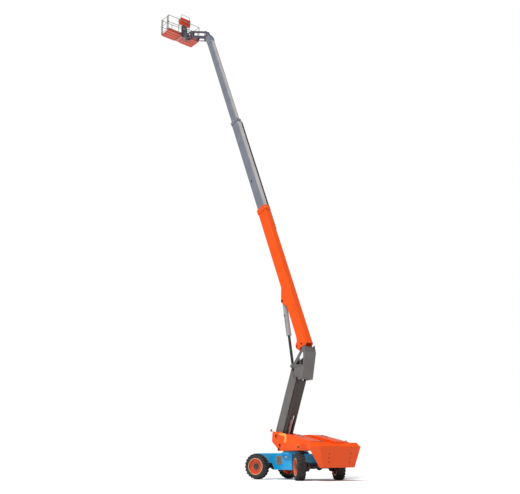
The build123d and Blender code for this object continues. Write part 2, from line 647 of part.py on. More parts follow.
# Riser: boxed front link, forked at its head round the lift cylinder
with BuildPart() as front_link:
    with BuildSketch(leaning(RISER_FOOT, RISER_ANGLE)):
        Polygon((-110, -110), (180, -FRONT_LINK_D / 2), (RISER_L - 60, -FRONT_LINK_D / 2),
                (RISER_L + 110, -100), (RISER_L + 110, 100), (RISER_L - 60, FRONT_LINK_D / 2),
                (180, FRONT_LINK_D / 2), (-110, 110), align=None)
    extrude(amount=FRONT_LINK_HALF_W, both=True)
    with BuildSketch(section(RISER_FOOT, RISER_ANGLE, 200)):
        Rectangle(2 * FRONT_LINK_HALF_W - 24, FRONT_LINK_D - 24)
    extrude(amount=FORK_S - 300, mode=Mode.SUBTRACT)
    with BuildSketch(section(RISER_FOOT, RISER_ANGLE, FORK_S)):
        Rectangle(2 * (FRONT_LINK_HALF_W - FORK_T), FRONT_LINK_D + 20)
    extrude(amount=RISER_L + 200 - FORK_S, mode=Mode.SUBTRACT)
    bar(RISER_FOOT, RISER_PIN_R + SEAT, FRONT_LINK_HALF_W + 1, mode=Mode.SUBTRACT)
    bar(RISER_HEAD, RISER_PIN_R + SEAT, FRONT_LINK_HALF_W + 1, mode=Mode.SUBTRACT)
    for hand in (1, -1):
        with BuildSketch(leaning(RISER_FOOT, RISER_ANGLE, hand * (EYE_HALF_W + SEAT + 12))):
            Polygon((RISER_CYL_S - 150, FRONT_LINK_D / 2), (RISER_CYL_S - 70, RISER_CYL_N + 60),
                    (RISER_CYL_S + 70, RISER_CYL_N + 60), (RISER_CYL_S + 150, FRONT_LINK_D / 2),
                    align=None)
        extrude(amount=12, both=True)
finish("riser_front_link", front_link)

# Rear link: two rails, plated together above the cylinder
with BuildPart() as rear_link:
    for hand in (1, -1):
        with BuildSketch(leaning(REAR_FOOT, RISER_ANGLE, hand * (FRONT_LINK_HALF_W - REAR_RAIL_T / 2))):
            with Locations((RISER_L / 2, 0)):
                SlotCenterToCenter(RISER_L, REAR_LINK_D)
        extrude(amount=REAR_RAIL_T / 2, both=True)
    with BuildSketch(section(REAR_FOOT, RISER_ANGLE, REAR_PLATE_S)):
        with Locations((0, REAR_LINK_D / 2 - 10)):
            Rectangle(2 * FRONT_LINK_HALF_W - 2, 20)
    extrude(amount=RISER_L - REAR_PLATE_S - 90)
    for hand in (1, -1):
        with BuildSketch(section(REAR_FOOT, RISER_ANGLE, 120)):
            with Locations((hand * (FRONT_LINK_HALF_W - 50), REAR_LINK_D / 2 - 10)):
                Rectangle(100, 20)
        extrude(amount=REAR_PLATE_S - 120)
    for hand in (1, -1):
        y = hand * FRONT_LINK_HALF_W
        bar(REAR_FOOT, RISER_PIN_R + SEAT, 80, y=y, mode=Mode.SUBTRACT)
        bar(REAR_HEAD, RISER_PIN_R + SEAT, 80, y=y, mode=Mode.SUBTRACT)
finish("riser_rear_link", rear_link)

# Riser cylinder
riser_cyl_l, riser_cyl_angle = span(RISER_CYL_FOOT, RISER_CYL_EYE)
RISER_BARREL_L = 1450
RISER_ROD_L = 790
with BuildPart() as riser_barrel:
    with BuildSketch(section(RISER_CYL_FOOT, riser_cyl_angle, 70)):
        Circle(RISER_BARREL_R)
    extrude(amount=RISER_BARREL_L - 70)
    with BuildSketch(leaning(RISER_CYL_FOOT, riser_cyl_angle)):
        with Locations((20, 0)):
            Circle(82)
    extrude(amount=60, both=True)
    with BuildSketch(section(RISER_CYL_FOOT, riser_cyl_angle, 110)):
        Circle(RISER_ROD_R + SEAT)
    extrude(amount=RISER_BARREL_L, mode=Mode.SUBTRACT)
    bar(RISER_CYL_FOOT, RISER_PIN_R + SEAT, 80, mode=Mode.SUBTRACT)
finish("riser_cylinder_barrel", riser_barrel)

with BuildPart() as riser_rod:
    with BuildSketch(section(RISER_CYL_FOOT, riser_cyl_angle, riser_cyl_l - RISER_ROD_L)):
        Circle(RISER_ROD_R)
    extrude(amount=RISER_ROD_L - 30)
    with BuildSketch(leaning(RISER_CYL_FOOT, riser_cyl_angle)):
        with Locations((riser_cyl_l, 0)):
            Circle(62)
    extrude(amount=EYE_HALF_W, both=True)
finish("riser_cylinder_rod", riser_rod)

# Upright between riser and boom, drawn about the riser's head
with BuildPart() as upright:
    for hand in (1, -1):
        with BuildSketch(at_head(hand * (UPRIGHT_HALF_W - UPRIGHT_T / 2))):
            Polygon((-826, 1080), (-896, 720), (-644, -480), (-230, -480), (-30, -100), (80, -40),
                    (100, 110), (-770, 1080), align=None)
            Polygon((-735, 850), (-180, 215), (-700, 180), align=None, mode=Mode.SUBTRACT)
        extrude(amount=UPRIGHT_T / 2, both=True)
        with BuildSketch(at_head(hand * (UPRIGHT_HALF_W + FLANGE_H / 2))):
            Polygon((-805, 1080), (-770, 1080), (100, 110), (80, 95), align=None)
            Polygon((-715, 156), (100, 96), (100, 120), (-715, 180), align=None)
        extrude(amount=FLANGE_H / 2, both=True)
    with BuildSketch(at_head()):
        Polygon((-832, 1010), (-894, 720), (-645, -478), (-623, -478), (-868, 720), (-808, 1010),
                align=None)
    extrude(amount=UPRIGHT_HALF_W - 2, both=True)
    for hand in (1, -1):
        with BuildSketch(at_head(hand * (PIVOT_LUG_Y - PIVOT_LUG_T / 2))):
            Polygon((-812, 1005), (-500, 1015), (-421, 940), (-421, 880), (-500, 800), (-855, 560),
                    align=None)
        extrude(amount=PIVOT_LUG_T / 2, both=True)
        with BuildSketch(at_head(hand * 112)):
            Polygon((-216, 570), (-376, 270), (174, 80), (324, 110), (454, 200), (384, 290), (284, 300),
                    align=None)
        extrude(amount=11, both=True)
    with BuildSketch(at_head()):
        Polygon((-124, 245), (-106, 261), (-246, 417), (-264, 401), align=None)
    extrude(amount=UPRIGHT_HALF_W - 2, both=True)
    bar(RISER_HEAD, RISER_PIN_R, UPRIGHT_HALF_W + 12)
    for hand in (1, -1):
        bar(REAR_HEAD, RISER_PIN_R, 80, y=hand * (UPRIGHT_HALF_W + 12 - 80))
    bar(BOOM_PIVOT, BOOM_PIN_R, BASE_W / 2 + FOOT_T + FOOT_BOSS + 14)
    bar(LIFT_FOOT, LIFT_PIN_R, 130)
finish("upright", upright)

# Main boom: three rectangular tubes, one inside the next
with BuildPart() as boom_base:
    with BuildSketch(section(BOOM_PIVOT, BOOM_ANGLE, BASE_START)):
        with Locations((0, BOOM_RISE)):
            RectangleRounded(BASE_W, BASE_D, 24)
    extrude(amount=BASE_END - BASE_START)
    with BuildSketch(section(BOOM_PIVOT, BOOM_ANGLE, BASE_END - COLLAR_L)):
        with Locations((0, BOOM_RISE)):
            RectangleRounded(BASE_W + 2 * COLLAR_T, BASE_D + 2 * COLLAR_T, 40)
    extrude(amount=COLLAR_L)
    for hand in (1, -1):
        with BuildSketch(leaning(BOOM_PIVOT, BOOM_ANGLE, hand * (BASE_W + FOOT_T) / 2)):
            Polygon((-150, 0), (-120, 90), (120, BOOM_RISE + 260), (700, BOOM_RISE + 200),
                    (1000, BOOM_RISE + 100), (1000, BOOM_RISE - 200), (520, -160), (370, -320),
                    (230, -345), (90, -250), (-80, -130), align=None)
            fillet(vertices(), 40)
        extrude(amount=FOOT_T / 2, both=True)
        bar(BOOM_PIVOT, 100, FOOT_BOSS / 2, y=hand * (BASE_W / 2 + FOOT_T + FOOT_BOSS / 2))
        bar(along(BOOM_PIVOT, BOOM_ANGLE, *FOOT_STOP), 48, 15, y=hand * (BASE_W / 2 + FOOT_T + 15))
        with BuildSketch(leaning(BOOM_PIVOT, BOOM_ANGLE, hand * (LIFT_EYE_HALF_W + SEAT + 14))):
            Polygon((LIFT_S - 420, BASE_UNDER + 4), (LIFT_S - 110, -LIFT_N - 60),
                    (LIFT_S - 40, -LIFT_N - 95), (LIFT_S + 60, -LIFT_N - 80),
                    (LIFT_S + 700, BASE_UNDER + 4), align=None)
        extrude(amount=14, both=True)
    with BuildSketch(section(BOOM_PIVOT, BOOM_ANGLE, BASE_START - 1)):
        with Locations((0, BOOM_RISE)):
            Rectangle(BASE_W - 2 * BASE_WALL, BASE_D - 2 * BASE_WALL)
    extrude(amount=BASE_END - BASE_START - 60, mode=Mode.SUBTRACT)
    with BuildSketch(section(BOOM_PIVOT, BOOM_ANGLE, BASE_END - PAD_L)):
        with Locations((0, BOOM_RISE)):
            Rectangle(BASE_W - 2 * BASE_WALL, BASE_D - 2 * BASE_WALL)
            Rectangle(MID_W + 2 * SEAT, MID_D + 2 * SEAT, mode=Mode.SUBTRACT)
    extrude(amount=PAD_L - 60)
    with BuildSketch(section(BOOM_PIVOT, BOOM_ANGLE, BASE_END - 80)):
        with Locations((0, BOOM_RISE)):
            Rectangle(MID_W + 2 * SEAT, MID_D + 2 * SEAT)
    extrude(amount=100, mode=Mode.SUBTRACT)
    bar(BOOM_PIVOT, BOOM_PIN_R + 2 * SEAT, BASE_W, mode=Mode.SUBTRACT)
    for hand in (1, -1):
        bar(LIFT_EYE, 70, 12, y=hand * (LIFT_EYE_HALF_W + SEAT + 28 + 12))
finish("boom_base", boom_base)


def boom_section(width, depth, wall, start, end, child, hole):
    """Telescope section: head collar that guides the next one, slide pads at its tail, hole in its left side."""
    with BuildPart() as tube:
        with BuildSketch(section(BOOM_PIVOT, BOOM_ANGLE, start)):
            with Locations((0, BOOM_RISE)):
                RectangleRounded(width, depth, 20)
        extrude(amount=end - start)
        with BuildSketch(section(BOOM_PIVOT, BOOM_ANGLE, end - 190)):
            with Locations((0, BOOM_RISE)):
                RectangleRounded(width + 50, depth + 50, 34)
        extrude(amount=190)
        with BuildSketch(section(BOOM_PIVOT, BOOM_ANGLE, start)):
            with Locations((0, BOOM_RISE)):
                Rectangle(width - 2 * wall, depth - 2 * wall)
        extrude(amount=end - start - PAD_L, mode=Mode.SUBTRACT)
        with BuildSketch(section(BOOM_PIVOT, BOOM_ANGLE, start)):
            with Locations((0, BOOM_RISE)):
                Rectangle(child[0] + 2 * SEAT, child[1] + 2 * SEAT)
        extrude(amount=end - start + 1, mode=Mode.SUBTRACT)
        bar(along(BOOM_PIVOT, BOOM_ANGLE, *hole), ACCESS_R, wall + 1, y=width / 2, mode=Mode.SUBTRACT)
    return tube


ACCESS_R = 55
MID_HOLE = (10316, BOOM_RISE - 60)
boom_mid = boom_section(MID_W, MID_D, MID_WALL, MID_START, MID_END, (TIP_W, TIP_D), MID_HOLE)
finish("boom_mid", boom_mid)

with BuildPart() as boom_tip:
    with BuildSketch(section(BOOM_PIVOT, BOOM_ANGLE, TIP_START)):
        with Locations((0, BOOM_RISE)):
            RectangleRounded(TIP_W, TIP_D, 18)
            Rectangle(TIP_W - 2 * TIP_WALL, TIP_D - 2 * TIP_WALL, mode=Mode.SUBTRACT)
    extrude(amount=TIP_END - 260 - TIP_START)
    for hand in (1, -1):
        with BuildSketch(leaning(BOOM_PIVOT, BOOM_ANGLE, hand * (TIP_W / 2 + 8))):
            Polygon((TIP_END - TIP_CHEEK_L, BOOM_RISE - 180), (TIP_END - 300, BOOM_RISE - 230),
                    (TIP_PIN_S + 90, BOOM_RISE - 90), (TIP_PIN_S + 90, BOOM_RISE + 90),
                    (TIP_END - 300, BOOM_RISE + 230), (TIP_END - TIP_CHEEK_L, BOOM_RISE + 180),
                    align=None)
            fillet(vertices(), 35)
        extrude(amount=8, both=True)
    bar(TIP_PIN, TIP_PIN_R, TIP_W / 2 + 24)
finish("boom_tip", boom_tip)

# Energy chain in its carrier beside the mid section
CHAIN_Y = -300
CHAIN_START, CHAIN_END = MID_START + 230, MID_END - 70
CHAIN_PITCH = 132
CHAIN_H = 130
with BuildPart() as chain:
    with BuildSketch(leaning(BOOM_PIVOT, BOOM_ANGLE, CHAIN_Y)):
        with Locations(((CHAIN_START + CHAIN_END) / 2, BOOM_RISE + 100)):
            Rectangle(CHAIN_END - CHAIN_START, CHAIN_H - 40)
    extrude(amount=38, both=True)
    with BuildSketch(leaning(BOOM_PIVOT, BOOM_ANGLE, CHAIN_Y)):
        with Locations(((CHAIN_START + CHAIN_END) / 2, BOOM_RISE + 100)):
            with GridLocations(CHAIN_PITCH, 1, int((CHAIN_END - CHAIN_START) / CHAIN_PITCH), 1):
                Rectangle(CHAIN_PITCH * 0.7, CHAIN_H)
    extrude(amount=46, both=True)
    with BuildSketch(leaning(BOOM_PIVOT, BOOM_ANGLE, -(MID_W + 50) / 2)):
        with Locations((MID_END - 110, BOOM_RISE + 100)):
            Rectangle(120, 110)
    extrude(amount=-CHAIN_Y - 46 - (MID_W + 50) / 2)
finish("energy_chain", chain)

# Boom lift cylinder, rod down, barrel pinned to the boom
lift_l, lift_angle = span(LIFT_FOOT, LIFT_EYE)
LIFT_BARREL_L = 1760
LIFT_ROD_L = 1790
with BuildPart() as lift_rod:
    with BuildSketch(section(LIFT_FOOT, lift_angle, 40)):
        Circle(LIFT_ROD_R)
    extrude(amount=LIFT_ROD_L - 40)
    with BuildSketch(leaning(LIFT_FOOT, lift_angle)):
        Circle(88)
    extrude(amount=80, both=True)
    bar(LIFT_FOOT, LIFT_PIN_R + SEAT, 90, mode=Mode.SUBTRACT)
finish("lift_cylinder_rod", lift_rod)

with BuildPart() as lift_barrel:
    with BuildSketch(section(LIFT_FOOT, lift_angle, lift_l - LIFT_BARREL_L)):
        Circle(LIFT_BARREL_R)
    extrude(amount=LIFT_BARREL_L - 90)
    with BuildSketch(section(LIFT_FOOT, lift_angle, lift_l - LIFT_BARREL_L)):
        Circle(LIFT_BARREL_R + 12)
    extrude(amount=90)
    with BuildSketch(leaning(LIFT_FOOT, lift_angle)):
        with Locations((lift_l, 0)):
            Circle(92)
    extrude(amount=LIFT_EYE_HALF_W, both=True)
    with BuildSketch(section(LIFT_FOOT, lift_angle, lift_l - LIFT_BARREL_L - 1)):
        Circle(LIFT_ROD_R + SEAT)
    extrude(amount=LIFT_BARREL_L - 120, mode=Mode.SUBTRACT)
finish("lift_cylinder_barrel", lift_barrel)

# Jib: levelled bracket, two parallel arms, head and rotator
with BuildPart() as jib_base:
    for hand in (1, -1):
        with BuildSketch(side(hand * 100)):
            Polygon((TIP_PIN[0] - 70, TIP_PIN[1] + 20), (TIP_PIN[0] - 20, TIP_PIN[1] - 75),
                    (JIB_CYL_FOOT[0] - 70, JIB_CYL_FOOT[1]), (JIB_CYL_FOOT[0], JIB_CYL_FOOT[1] - 60),
                    (JIB_CYL_FOOT[0] + 60, JIB_CYL_FOOT[1]), (JIB_LOW[0] + 70, JIB_LOW[1]),
                    (JIB_HIGH[0] + 70, JIB_HIGH[1] + 20), (JIB_HIGH[0] - 10, JIB_HIGH[1] + 75),
                    (JIB_HIGH[0] - 90, JIB_HIGH[1] + 20), align=None)
            fillet(vertices(), 30)
            with Locations(((JIB_LOW[0] + JIB_HIGH[0]) / 2 - 30, (JIB_LOW[1] + JIB_HIGH[1]) / 2)):
                Circle(55, mode=Mode.SUBTRACT)
        extrude(amount=10, both=True)
    with BuildSketch(side()):
        Polygon((TIP_PIN[0] - 40, TIP_PIN[1] + 72), (JIB_HIGH[0] - 95, JIB_HIGH[1] - 20),
                (JIB_HIGH[0] - 75, JIB_HIGH[1] - 30), (TIP_PIN[0] - 18, TIP_PIN[1] + 66), align=None)
    extrude(amount=100, both=True)
    bar(TIP_PIN, TIP_PIN_R + SEAT, 120, mode=Mode.SUBTRACT)
    bar(JIB_LOW, JIB_PIN_R, 118)
    bar(JIB_HIGH, JIB_PIN_R, 118)
    bar(JIB_CYL_FOOT, JIB_CYL_PIN_R, 105)
finish("jib_base", jib_base)

for name, foot, depth in (("jib_lower_arm", JIB_LOW, JIB_ARM_D), ("jib_upper_arm", JIB_HIGH, 90)):
    with BuildPart() as arm:
        with BuildSketch(leaning(foot, JIB_ANGLE)):
            with Locations((JIB_L / 2, 0)):
                SlotCenterToCenter(JIB_L, depth)
        extrude(amount=JIB_ARM_W / 2, both=True)
        if name == "jib_lower_arm":
            for hand in (1, -1):
                with BuildSketch(leaning(foot, JIB_ANGLE, hand * (JIB_EYE_HALF_W + SEAT + 8))):
                    Polygon((JIB_CYL_S - 130, -JIB_ARM_D / 2 + 1), (JIB_CYL_S - 50, -JIB_CYL_N - 40),
                            (JIB_CYL_S + 50, -JIB_CYL_N - 40), (JIB_CYL_S + 130, -JIB_ARM_D / 2 + 1),
                            align=None)
                extrude(amount=8, both=True)
        for s in (0, JIB_L):
            bar(along(foot, JIB_ANGLE, s), JIB_PIN_R + SEAT, 100, mode=Mode.SUBTRACT)
    finish(name, arm)

# Jib cylinder under the lower arm
JIB_BARREL_R, JIB_ROD_R = 42, 24
JIB_BARREL_L = 715
JIB_ROD_L = 670
jib_cyl_l, jib_cyl_angle = span(JIB_CYL_FOOT, JIB_EYE)
with BuildPart() as jib_barrel:
    with BuildSketch(section(JIB_CYL_FOOT, jib_cyl_angle, 30)):
        Circle(JIB_BARREL_R)
    extrude(amount=JIB_BARREL_L - 30)
    with BuildSketch(leaning(JIB_CYL_FOOT, jib_cyl_angle)):
        Circle(48)
    extrude(amount=40, both=True)
    with BuildSketch(section(JIB_CYL_FOOT, jib_cyl_angle, 80)):
        Circle(JIB_ROD_R + SEAT)
    extrude(amount=JIB_BARREL_L, mode=Mode.SUBTRACT)
    bar(JIB_CYL_FOOT, JIB_CYL_PIN_R + SEAT, 80, mode=Mode.SUBTRACT)
finish("jib_cylinder_barrel", jib_barrel)

with BuildPart() as jib_rod:
    with BuildSketch(section(JIB_CYL_FOOT, jib_cyl_angle, jib_cyl_l - JIB_ROD_L)):
        Circle(JIB_ROD_R)
    extrude(amount=JIB_ROD_L - 20)
    with BuildSketch(leaning(JIB_CYL_FOOT, jib_cyl_angle)):
        with Locations((jib_cyl_l, 0)):
            Circle(38)
    extrude(amount=JIB_EYE_HALF_W, both=True)
finish("jib_cylinder_rod", jib_rod)

with BuildPart() as jib_head:
    for hand in (1, -1):
        with BuildSketch(side(hand * 100)):
            Polygon((HEAD_LOW[0] - 60, HEAD_LOW[1]), (HEAD_LOW[0], HEAD_LOW[1] - 65),
                    (HEAD_LOW[0] + 220, HEAD_LOW[1] - 40), (ROTATOR_X - 20, HEAD_LOW[1] + 60),
                    (ROTATOR_X - 20, HEAD_HIGH[1] + 60), (HEAD_HIGH[0], HEAD_HIGH[1] + 60),
                    (HEAD_HIGH[0] - 60, HEAD_HIGH[1]), align=None)
            fillet(vertices(), 25)
            with Locations((HEAD_LOW[0] + 300, HEAD_LOW[1] + 200)):
                RectangleRounded(300, 180, 50, mode=Mode.SUBTRACT)
        extrude(amount=10, both=True)
    with BuildSketch(deck(HEAD_LOW[1] + 40)):
        with Locations((ROTATOR_X, 0)):
            Circle(ROTATOR_R - 20)
    extrude(amount=ROTATOR_TOP - HEAD_LOW[1] - 40)
    for z in (HEAD_LOW[1] + 40, ROTATOR_TOP - 50):
        with BuildSketch(deck(z)):
            with Locations((ROTATOR_X, 0)):
                Circle(ROTATOR_R)
        extrude(amount=50)
    bar(HEAD_LOW, JIB_PIN_R, 118)
    bar(HEAD_HIGH, JIB_PIN_R, 118)
finish("jib_head", jib_head)

with BuildPart() as rotator:
    with BuildSketch(deck(ROTATOR_TOP + SEAT)):
        with Locations((ROTATOR_X, 0)):
            Circle(ROTATOR_R)
    extrude(amount=150)
    with BuildSketch(side()):
        Polygon((ROTATOR_X, ROTATOR_TOP + 5), (BASKET_REAR_X - 25, ROTATOR_TOP + 5),
                (BASKET_REAR_X - 25, FLOOR_Z + 260), (BASKET_REAR_X - 80, FLOOR_Z + 260),
                (ROTATOR_X, ROTATOR_TOP + 150), align=None)
    extrude(amount=80, both=True)
    with BuildSketch(cross(BASKET_REAR_X - 60)):
        Polygon((-MAST_HALF_W, FLOOR_Z - 90), (MAST_HALF_W, FLOOR_Z - 90), (MAST_HALF_W, FLOOR_Z + 520),
                (MAST_HALF_W - 90, FLOOR_Z + 740), (90 - MAST_HALF_W, FLOOR_Z + 740),
                (-MAST_HALF_W, FLOOR_Z + 520), align=None)
        fillet(vertices(), 30)
        with Locations((0, FLOOR_Z + 510)):
            RectangleRounded(2 * MAST_HALF_W - 160, 240, 40, mode=Mode.SUBTRACT)
    extrude(amount=35)
finish("platform_rotator", rotator)

# Platform: floor, toe boards and rails
FLOOR_T = 40
HALF_W = BASKET_W / 2
BASKET_FRONT_X = BASKET_REAR_X + BASKET_D
X0, X1 = BASKET_REAR_X + RAIL_R, BASKET_FRONT_X - RAIL_R
Y0, Y1 = -HALF_W + RAIL_R, HALF_W - RAIL_R
G0, G1 = X0 + GATE_OFF + 60, X0 + GATE_OFF + 60 + GATE_W
RIBS, RIB_W, RIB_H = 4, 110, 45
RIB_PITCH = (BASKET_D - RIB_W - 60) / (RIBS - 1)
RIB_INNER_Y, RIB_OUTER_Y = 205, HALF_W - 70
TOE_T = 4
TOE_INSET = 2 * (RAIL_R + SEAT)  # the toe boards stand just inside the posts
with BuildPart() as floor:
    with BuildSketch(deck(FLOOR_Z)):
        with Locations((BASKET_REAR_X + BASKET_D / 2, 0)):
            Rectangle(BASKET_D - 2 * RAIL_R, BASKET_W - 2 * RAIL_R)
    extrude(amount=FLOOR_T)
    for hand in (1, -1):
        with BuildSketch(deck(FLOOR_Z - RIB_H)):
            with Locations((BASKET_REAR_X + BASKET_D / 2, hand * (RIB_INNER_Y + RIB_OUTER_Y) / 2)):
                with GridLocations(RIB_PITCH, 1, RIBS, 1):
                    Rectangle(RIB_W, RIB_OUTER_Y - RIB_INNER_Y)
        extrude(amount=RIB_H)
    with BuildSketch(deck(FLOOR_Z + FLOOR_T)):
        with Locations(((X0 + X1) / 2, 0)):
            Rectangle(X1 - X0 - TOE_INSET, Y1 - Y0 - TOE_INSET)
            Rectangle(X1 - X0 - TOE_INSET - 2 * TOE_T, Y1 - Y0 - TOE_INSET - 2 * TOE_T, mode=Mode.SUBTRACT)
        with Locations(((G0 + G1) / 2, Y1)):
            Rectangle(G1 - G0 - 2 * RAIL_R, 60, mode=Mode.SUBTRACT)
    extrude(amount=TOE_H)
finish("platform_floor", floor)

POST_STEP = 800
POST_YS = (Y0, Y0 + POST_STEP, Y1 - POST_STEP, Y1)
POSTS = [(x, y) for x in (X0, X1) for y in POST_YS] + [(G0, Y1), (G1, Y1)]
TOP = FLOOR_Z + RAIL_H - RAIL_R
MID_RAIL = FLOOR_Z + 620
GATE_POST_R, GATE_BAR_R = 18, 16
GATE_HINGE_X, GATE_LATCH_X = G0 + GATE_PIVOT, G1 - RAIL_R - GAP - GATE_POST_R
GATE_FOOT_Z = FLOOR_Z + FLOOR_T + 60
with BuildPart() as rails:
    for x, y in POSTS:
        with Locations((SLEW_X + x, y, FLOOR_Z + FLOOR_T)):
            Cylinder(RAIL_R, TOP - FLOOR_Z - FLOOR_T, align=(Align.CENTER, Align.CENTER, Align.MIN))
    for z in (MID_RAIL, TOP):
        for x in (X0, X1):
            with Locations(Location((SLEW_X + x, 0, z), (90, 0, 0))):
                Cylinder(RAIL_R, Y1 - Y0 + 2 * RAIL_R)
        with Locations(Location((SLEW_X + (X0 + X1) / 2, Y0, z), (0, 90, 0))):
            Cylinder(RAIL_R, X1 - X0)
        for a, b in ((X0, G0), (G1, X1)):
            with Locations(Location((SLEW_X + (a + b) / 2, Y1, z), (0, 90, 0))):
                Cylinder(RAIL_R, b - a)
    with BuildLine(cross(X0)) as hoop:
        FilletPolyline((HOOP_YS[0], TOP), (HOOP_YS[0], TOP + HOOP_H), (HOOP_YS[1], TOP + HOOP_H),
                       (HOOP_YS[1], TOP), radius=HOOP_BEND)
    with BuildSketch(deck(TOP)):
        with Locations((X0, HOOP_YS[0])):
            Circle(HOOP_R)
    sweep(path=hoop.wire())
    with BuildSketch(side()):
        Polygon((BASKET_REAR_X - 25, ROTATOR_TOP), (BASKET_REAR_X + 18, ROTATOR_TOP),
                (BASKET_REAR_X + 18, FLOOR_Z - 80), (BASKET_FRONT_X - 120, FLOOR_Z - 60),
                (BASKET_FRONT_X - 120, FLOOR_Z), (BASKET_REAR_X + 18, FLOOR_Z),
                (BASKET_REAR_X + 18, MID_RAIL + 35), (BASKET_REAR_X - 25, MID_RAIL + 35), align=None)
    extrude(amount=190, both=True)
    with BuildSketch(cross(BASKET_REAR_X + 40)):
        with Locations((0, FLOOR_Z - 50)):
            Rectangle(320, 100)
    extrude(amount=BASKET_D, mode=Mode.SUBTRACT)
    for z in (FLOOR_Z + 260, MID_RAIL + 200):
        with BuildSketch(deck(z)):
            with Locations((G0 + GATE_PIVOT / 2, Y1)):
                Rectangle(GATE_PIVOT, 2 * RAIL_R)
            with Locations((G0 + GATE_PIVOT, Y1)):
                Circle(RAIL_R + 12)
                Circle(GATE_POST_R + SEAT, mode=Mode.SUBTRACT)
        extrude(amount=14)
finish("platform_rails", rails)

with BuildPart() as gate:
    for x in (GATE_HINGE_X, GATE_LATCH_X):
        with Locations((SLEW_X + x, Y1, GATE_FOOT_Z)):
            Cylinder(GATE_POST_R, TOP - GATE_FOOT_Z, align=(Align.CENTER, Align.CENTER, Align.MIN))
    for z in (FLOOR_Z + 130, MID_RAIL, TOP - GATE_POST_R):
        with Locations(Location((SLEW_X + (GATE_HINGE_X + GATE_LATCH_X) / 2, Y1, z), (0, 90, 0))):
            Cylinder(GATE_BAR_R, GATE_LATCH_X - GATE_HINGE_X)
finish("platform_gate", gate)

with BuildPart() as console:
    with BuildSketch(side(CONSOLE_Y)):
        Polygon((X0 + RAIL_R + SEAT, TOP - 260), (X0 + 220, TOP - 240), (X0 + 330, TOP + 20),
                (X0 + 310, TOP + 110), (X0 + RAIL_R + SEAT, TOP + 240), align=None)
    extrude(amount=CONSOLE_HALF_W, both=True)
    fillet(console.edges().filter_by(Axis.Y, reverse=True), 40)
    with BuildSketch(side(CONSOLE_Y)):
        Polygon((X0 + 60, TOP + 135), (X0 + 280, TOP + 55), (X0 + 280, TOP + 200), (X0 + 60, TOP + 280),
                align=None)
    extrude(amount=CONSOLE_HALF_W - 60, both=True, mode=Mode.SUBTRACT)
finish("control_console", console)
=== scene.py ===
"""Looks of the articulated boom lift: finishes for its solids, and the detail that sits on them."""

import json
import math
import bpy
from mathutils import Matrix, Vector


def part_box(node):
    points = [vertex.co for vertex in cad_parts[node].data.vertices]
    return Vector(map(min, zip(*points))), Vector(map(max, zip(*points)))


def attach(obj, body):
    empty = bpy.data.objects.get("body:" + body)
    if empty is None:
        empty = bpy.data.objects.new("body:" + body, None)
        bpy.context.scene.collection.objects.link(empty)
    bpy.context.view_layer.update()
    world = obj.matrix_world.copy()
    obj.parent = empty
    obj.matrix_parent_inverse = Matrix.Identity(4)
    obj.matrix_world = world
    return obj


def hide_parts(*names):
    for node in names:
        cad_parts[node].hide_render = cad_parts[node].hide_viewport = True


bl_info = {
    "name": "Boom Lift Looks",
    "version": (1, 0, 0),
    "blender": (4, 5, 0),
    "location": "3D View > Sidebar > Boom Lift",
    "description": "Finishes, fittings and stage for an articulated boom lift",
    "category": "Add Mesh",
}

import bmesh
import bpy
from mathutils import Matrix, Vector
from mathutils.bvhtree import BVHTree

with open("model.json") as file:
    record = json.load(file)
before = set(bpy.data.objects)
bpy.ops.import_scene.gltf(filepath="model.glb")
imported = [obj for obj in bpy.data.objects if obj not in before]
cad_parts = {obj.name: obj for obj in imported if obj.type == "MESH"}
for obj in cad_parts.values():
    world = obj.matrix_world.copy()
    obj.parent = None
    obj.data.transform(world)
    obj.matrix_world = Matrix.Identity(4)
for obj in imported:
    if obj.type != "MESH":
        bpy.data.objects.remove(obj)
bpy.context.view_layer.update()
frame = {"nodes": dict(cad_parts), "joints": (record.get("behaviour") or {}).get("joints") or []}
PIVOTS = {j["name"]: Vector(j["pos_m"]) for j in frame["joints"] if "pos_m" in j}
AXES = {j["name"]: Vector(j["axis"]) for j in frame["joints"]}
ACROSS = Vector((0, 1, 0))
CORNERS = ("front_left", "front_right", "rear_left", "rear_right")
HANDS = (1, -1)
SIDES = ((1, "left"), (-1, "right"))
SHARP = 32  # degrees, past which an edge stays sharp
BESIDE = 2.0  # metres from the middle, past every side of the machine
ABOVE = 3.0  # metres up, past the roof of the turntable


# ---------------------------------------------------------------- tools for modelling


def clear():
    """Object mode with nothing selected, so that the next operator touches only its own piece."""
    if bpy.context.object is not None and bpy.context.object.mode != "OBJECT":
        bpy.ops.object.mode_set(mode="OBJECT")
    bpy.ops.object.select_all(action="DESELECT")


def take(piece):
    """Select one piece and make it active."""
    clear()
    piece.select_set(True)
    bpy.context.view_layer.objects.active = piece


def named(name):
    """Name the piece that was just added and settle its place into its mesh."""
    piece = bpy.context.object
    piece.name = name
    piece.data.name = name
    bpy.ops.object.transform_apply(location=True, rotation=True, scale=True)
    return piece


def block(name, size, at=(0, 0, 0)):
    """A box of a size, its middle at a place."""
    clear()
    bpy.ops.mesh.primitive_cube_add(size=1, location=at)
    bpy.context.object.scale = size
    return named(name)


def disc(name, radius, depth, at=(0, 0, 0), axis="Z", sides=32):
    """A round bar or disc along an axis, its middle at a place."""
    clear()
    turn = {"Y": (-math.pi / 2, 0, 0), "Z": (0, 0, 0)}[axis]
    bpy.ops.mesh.primitive_cylinder_add(
        vertices=sides, radius=radius, depth=depth, location=at, rotation=turn)
    return named(name)


def choose(piece, kind, test):
    """Enter edit mode with those faces, edges or vertices selected that pass the test."""
    take(piece)
    bpy.ops.object.mode_set(mode="EDIT")
    bpy.ops.mesh.select_mode(type=kind)
    bpy.ops.mesh.select_all(action="DESELECT")
    mesh = bmesh.from_edit_mesh(piece.data)
    for part in {"FACE": mesh.faces, "EDGE": mesh.edges, "VERT": mesh.verts}[kind]:
        if test(part):
            part.select_set(True)
    bmesh.update_edit_mesh(piece.data)


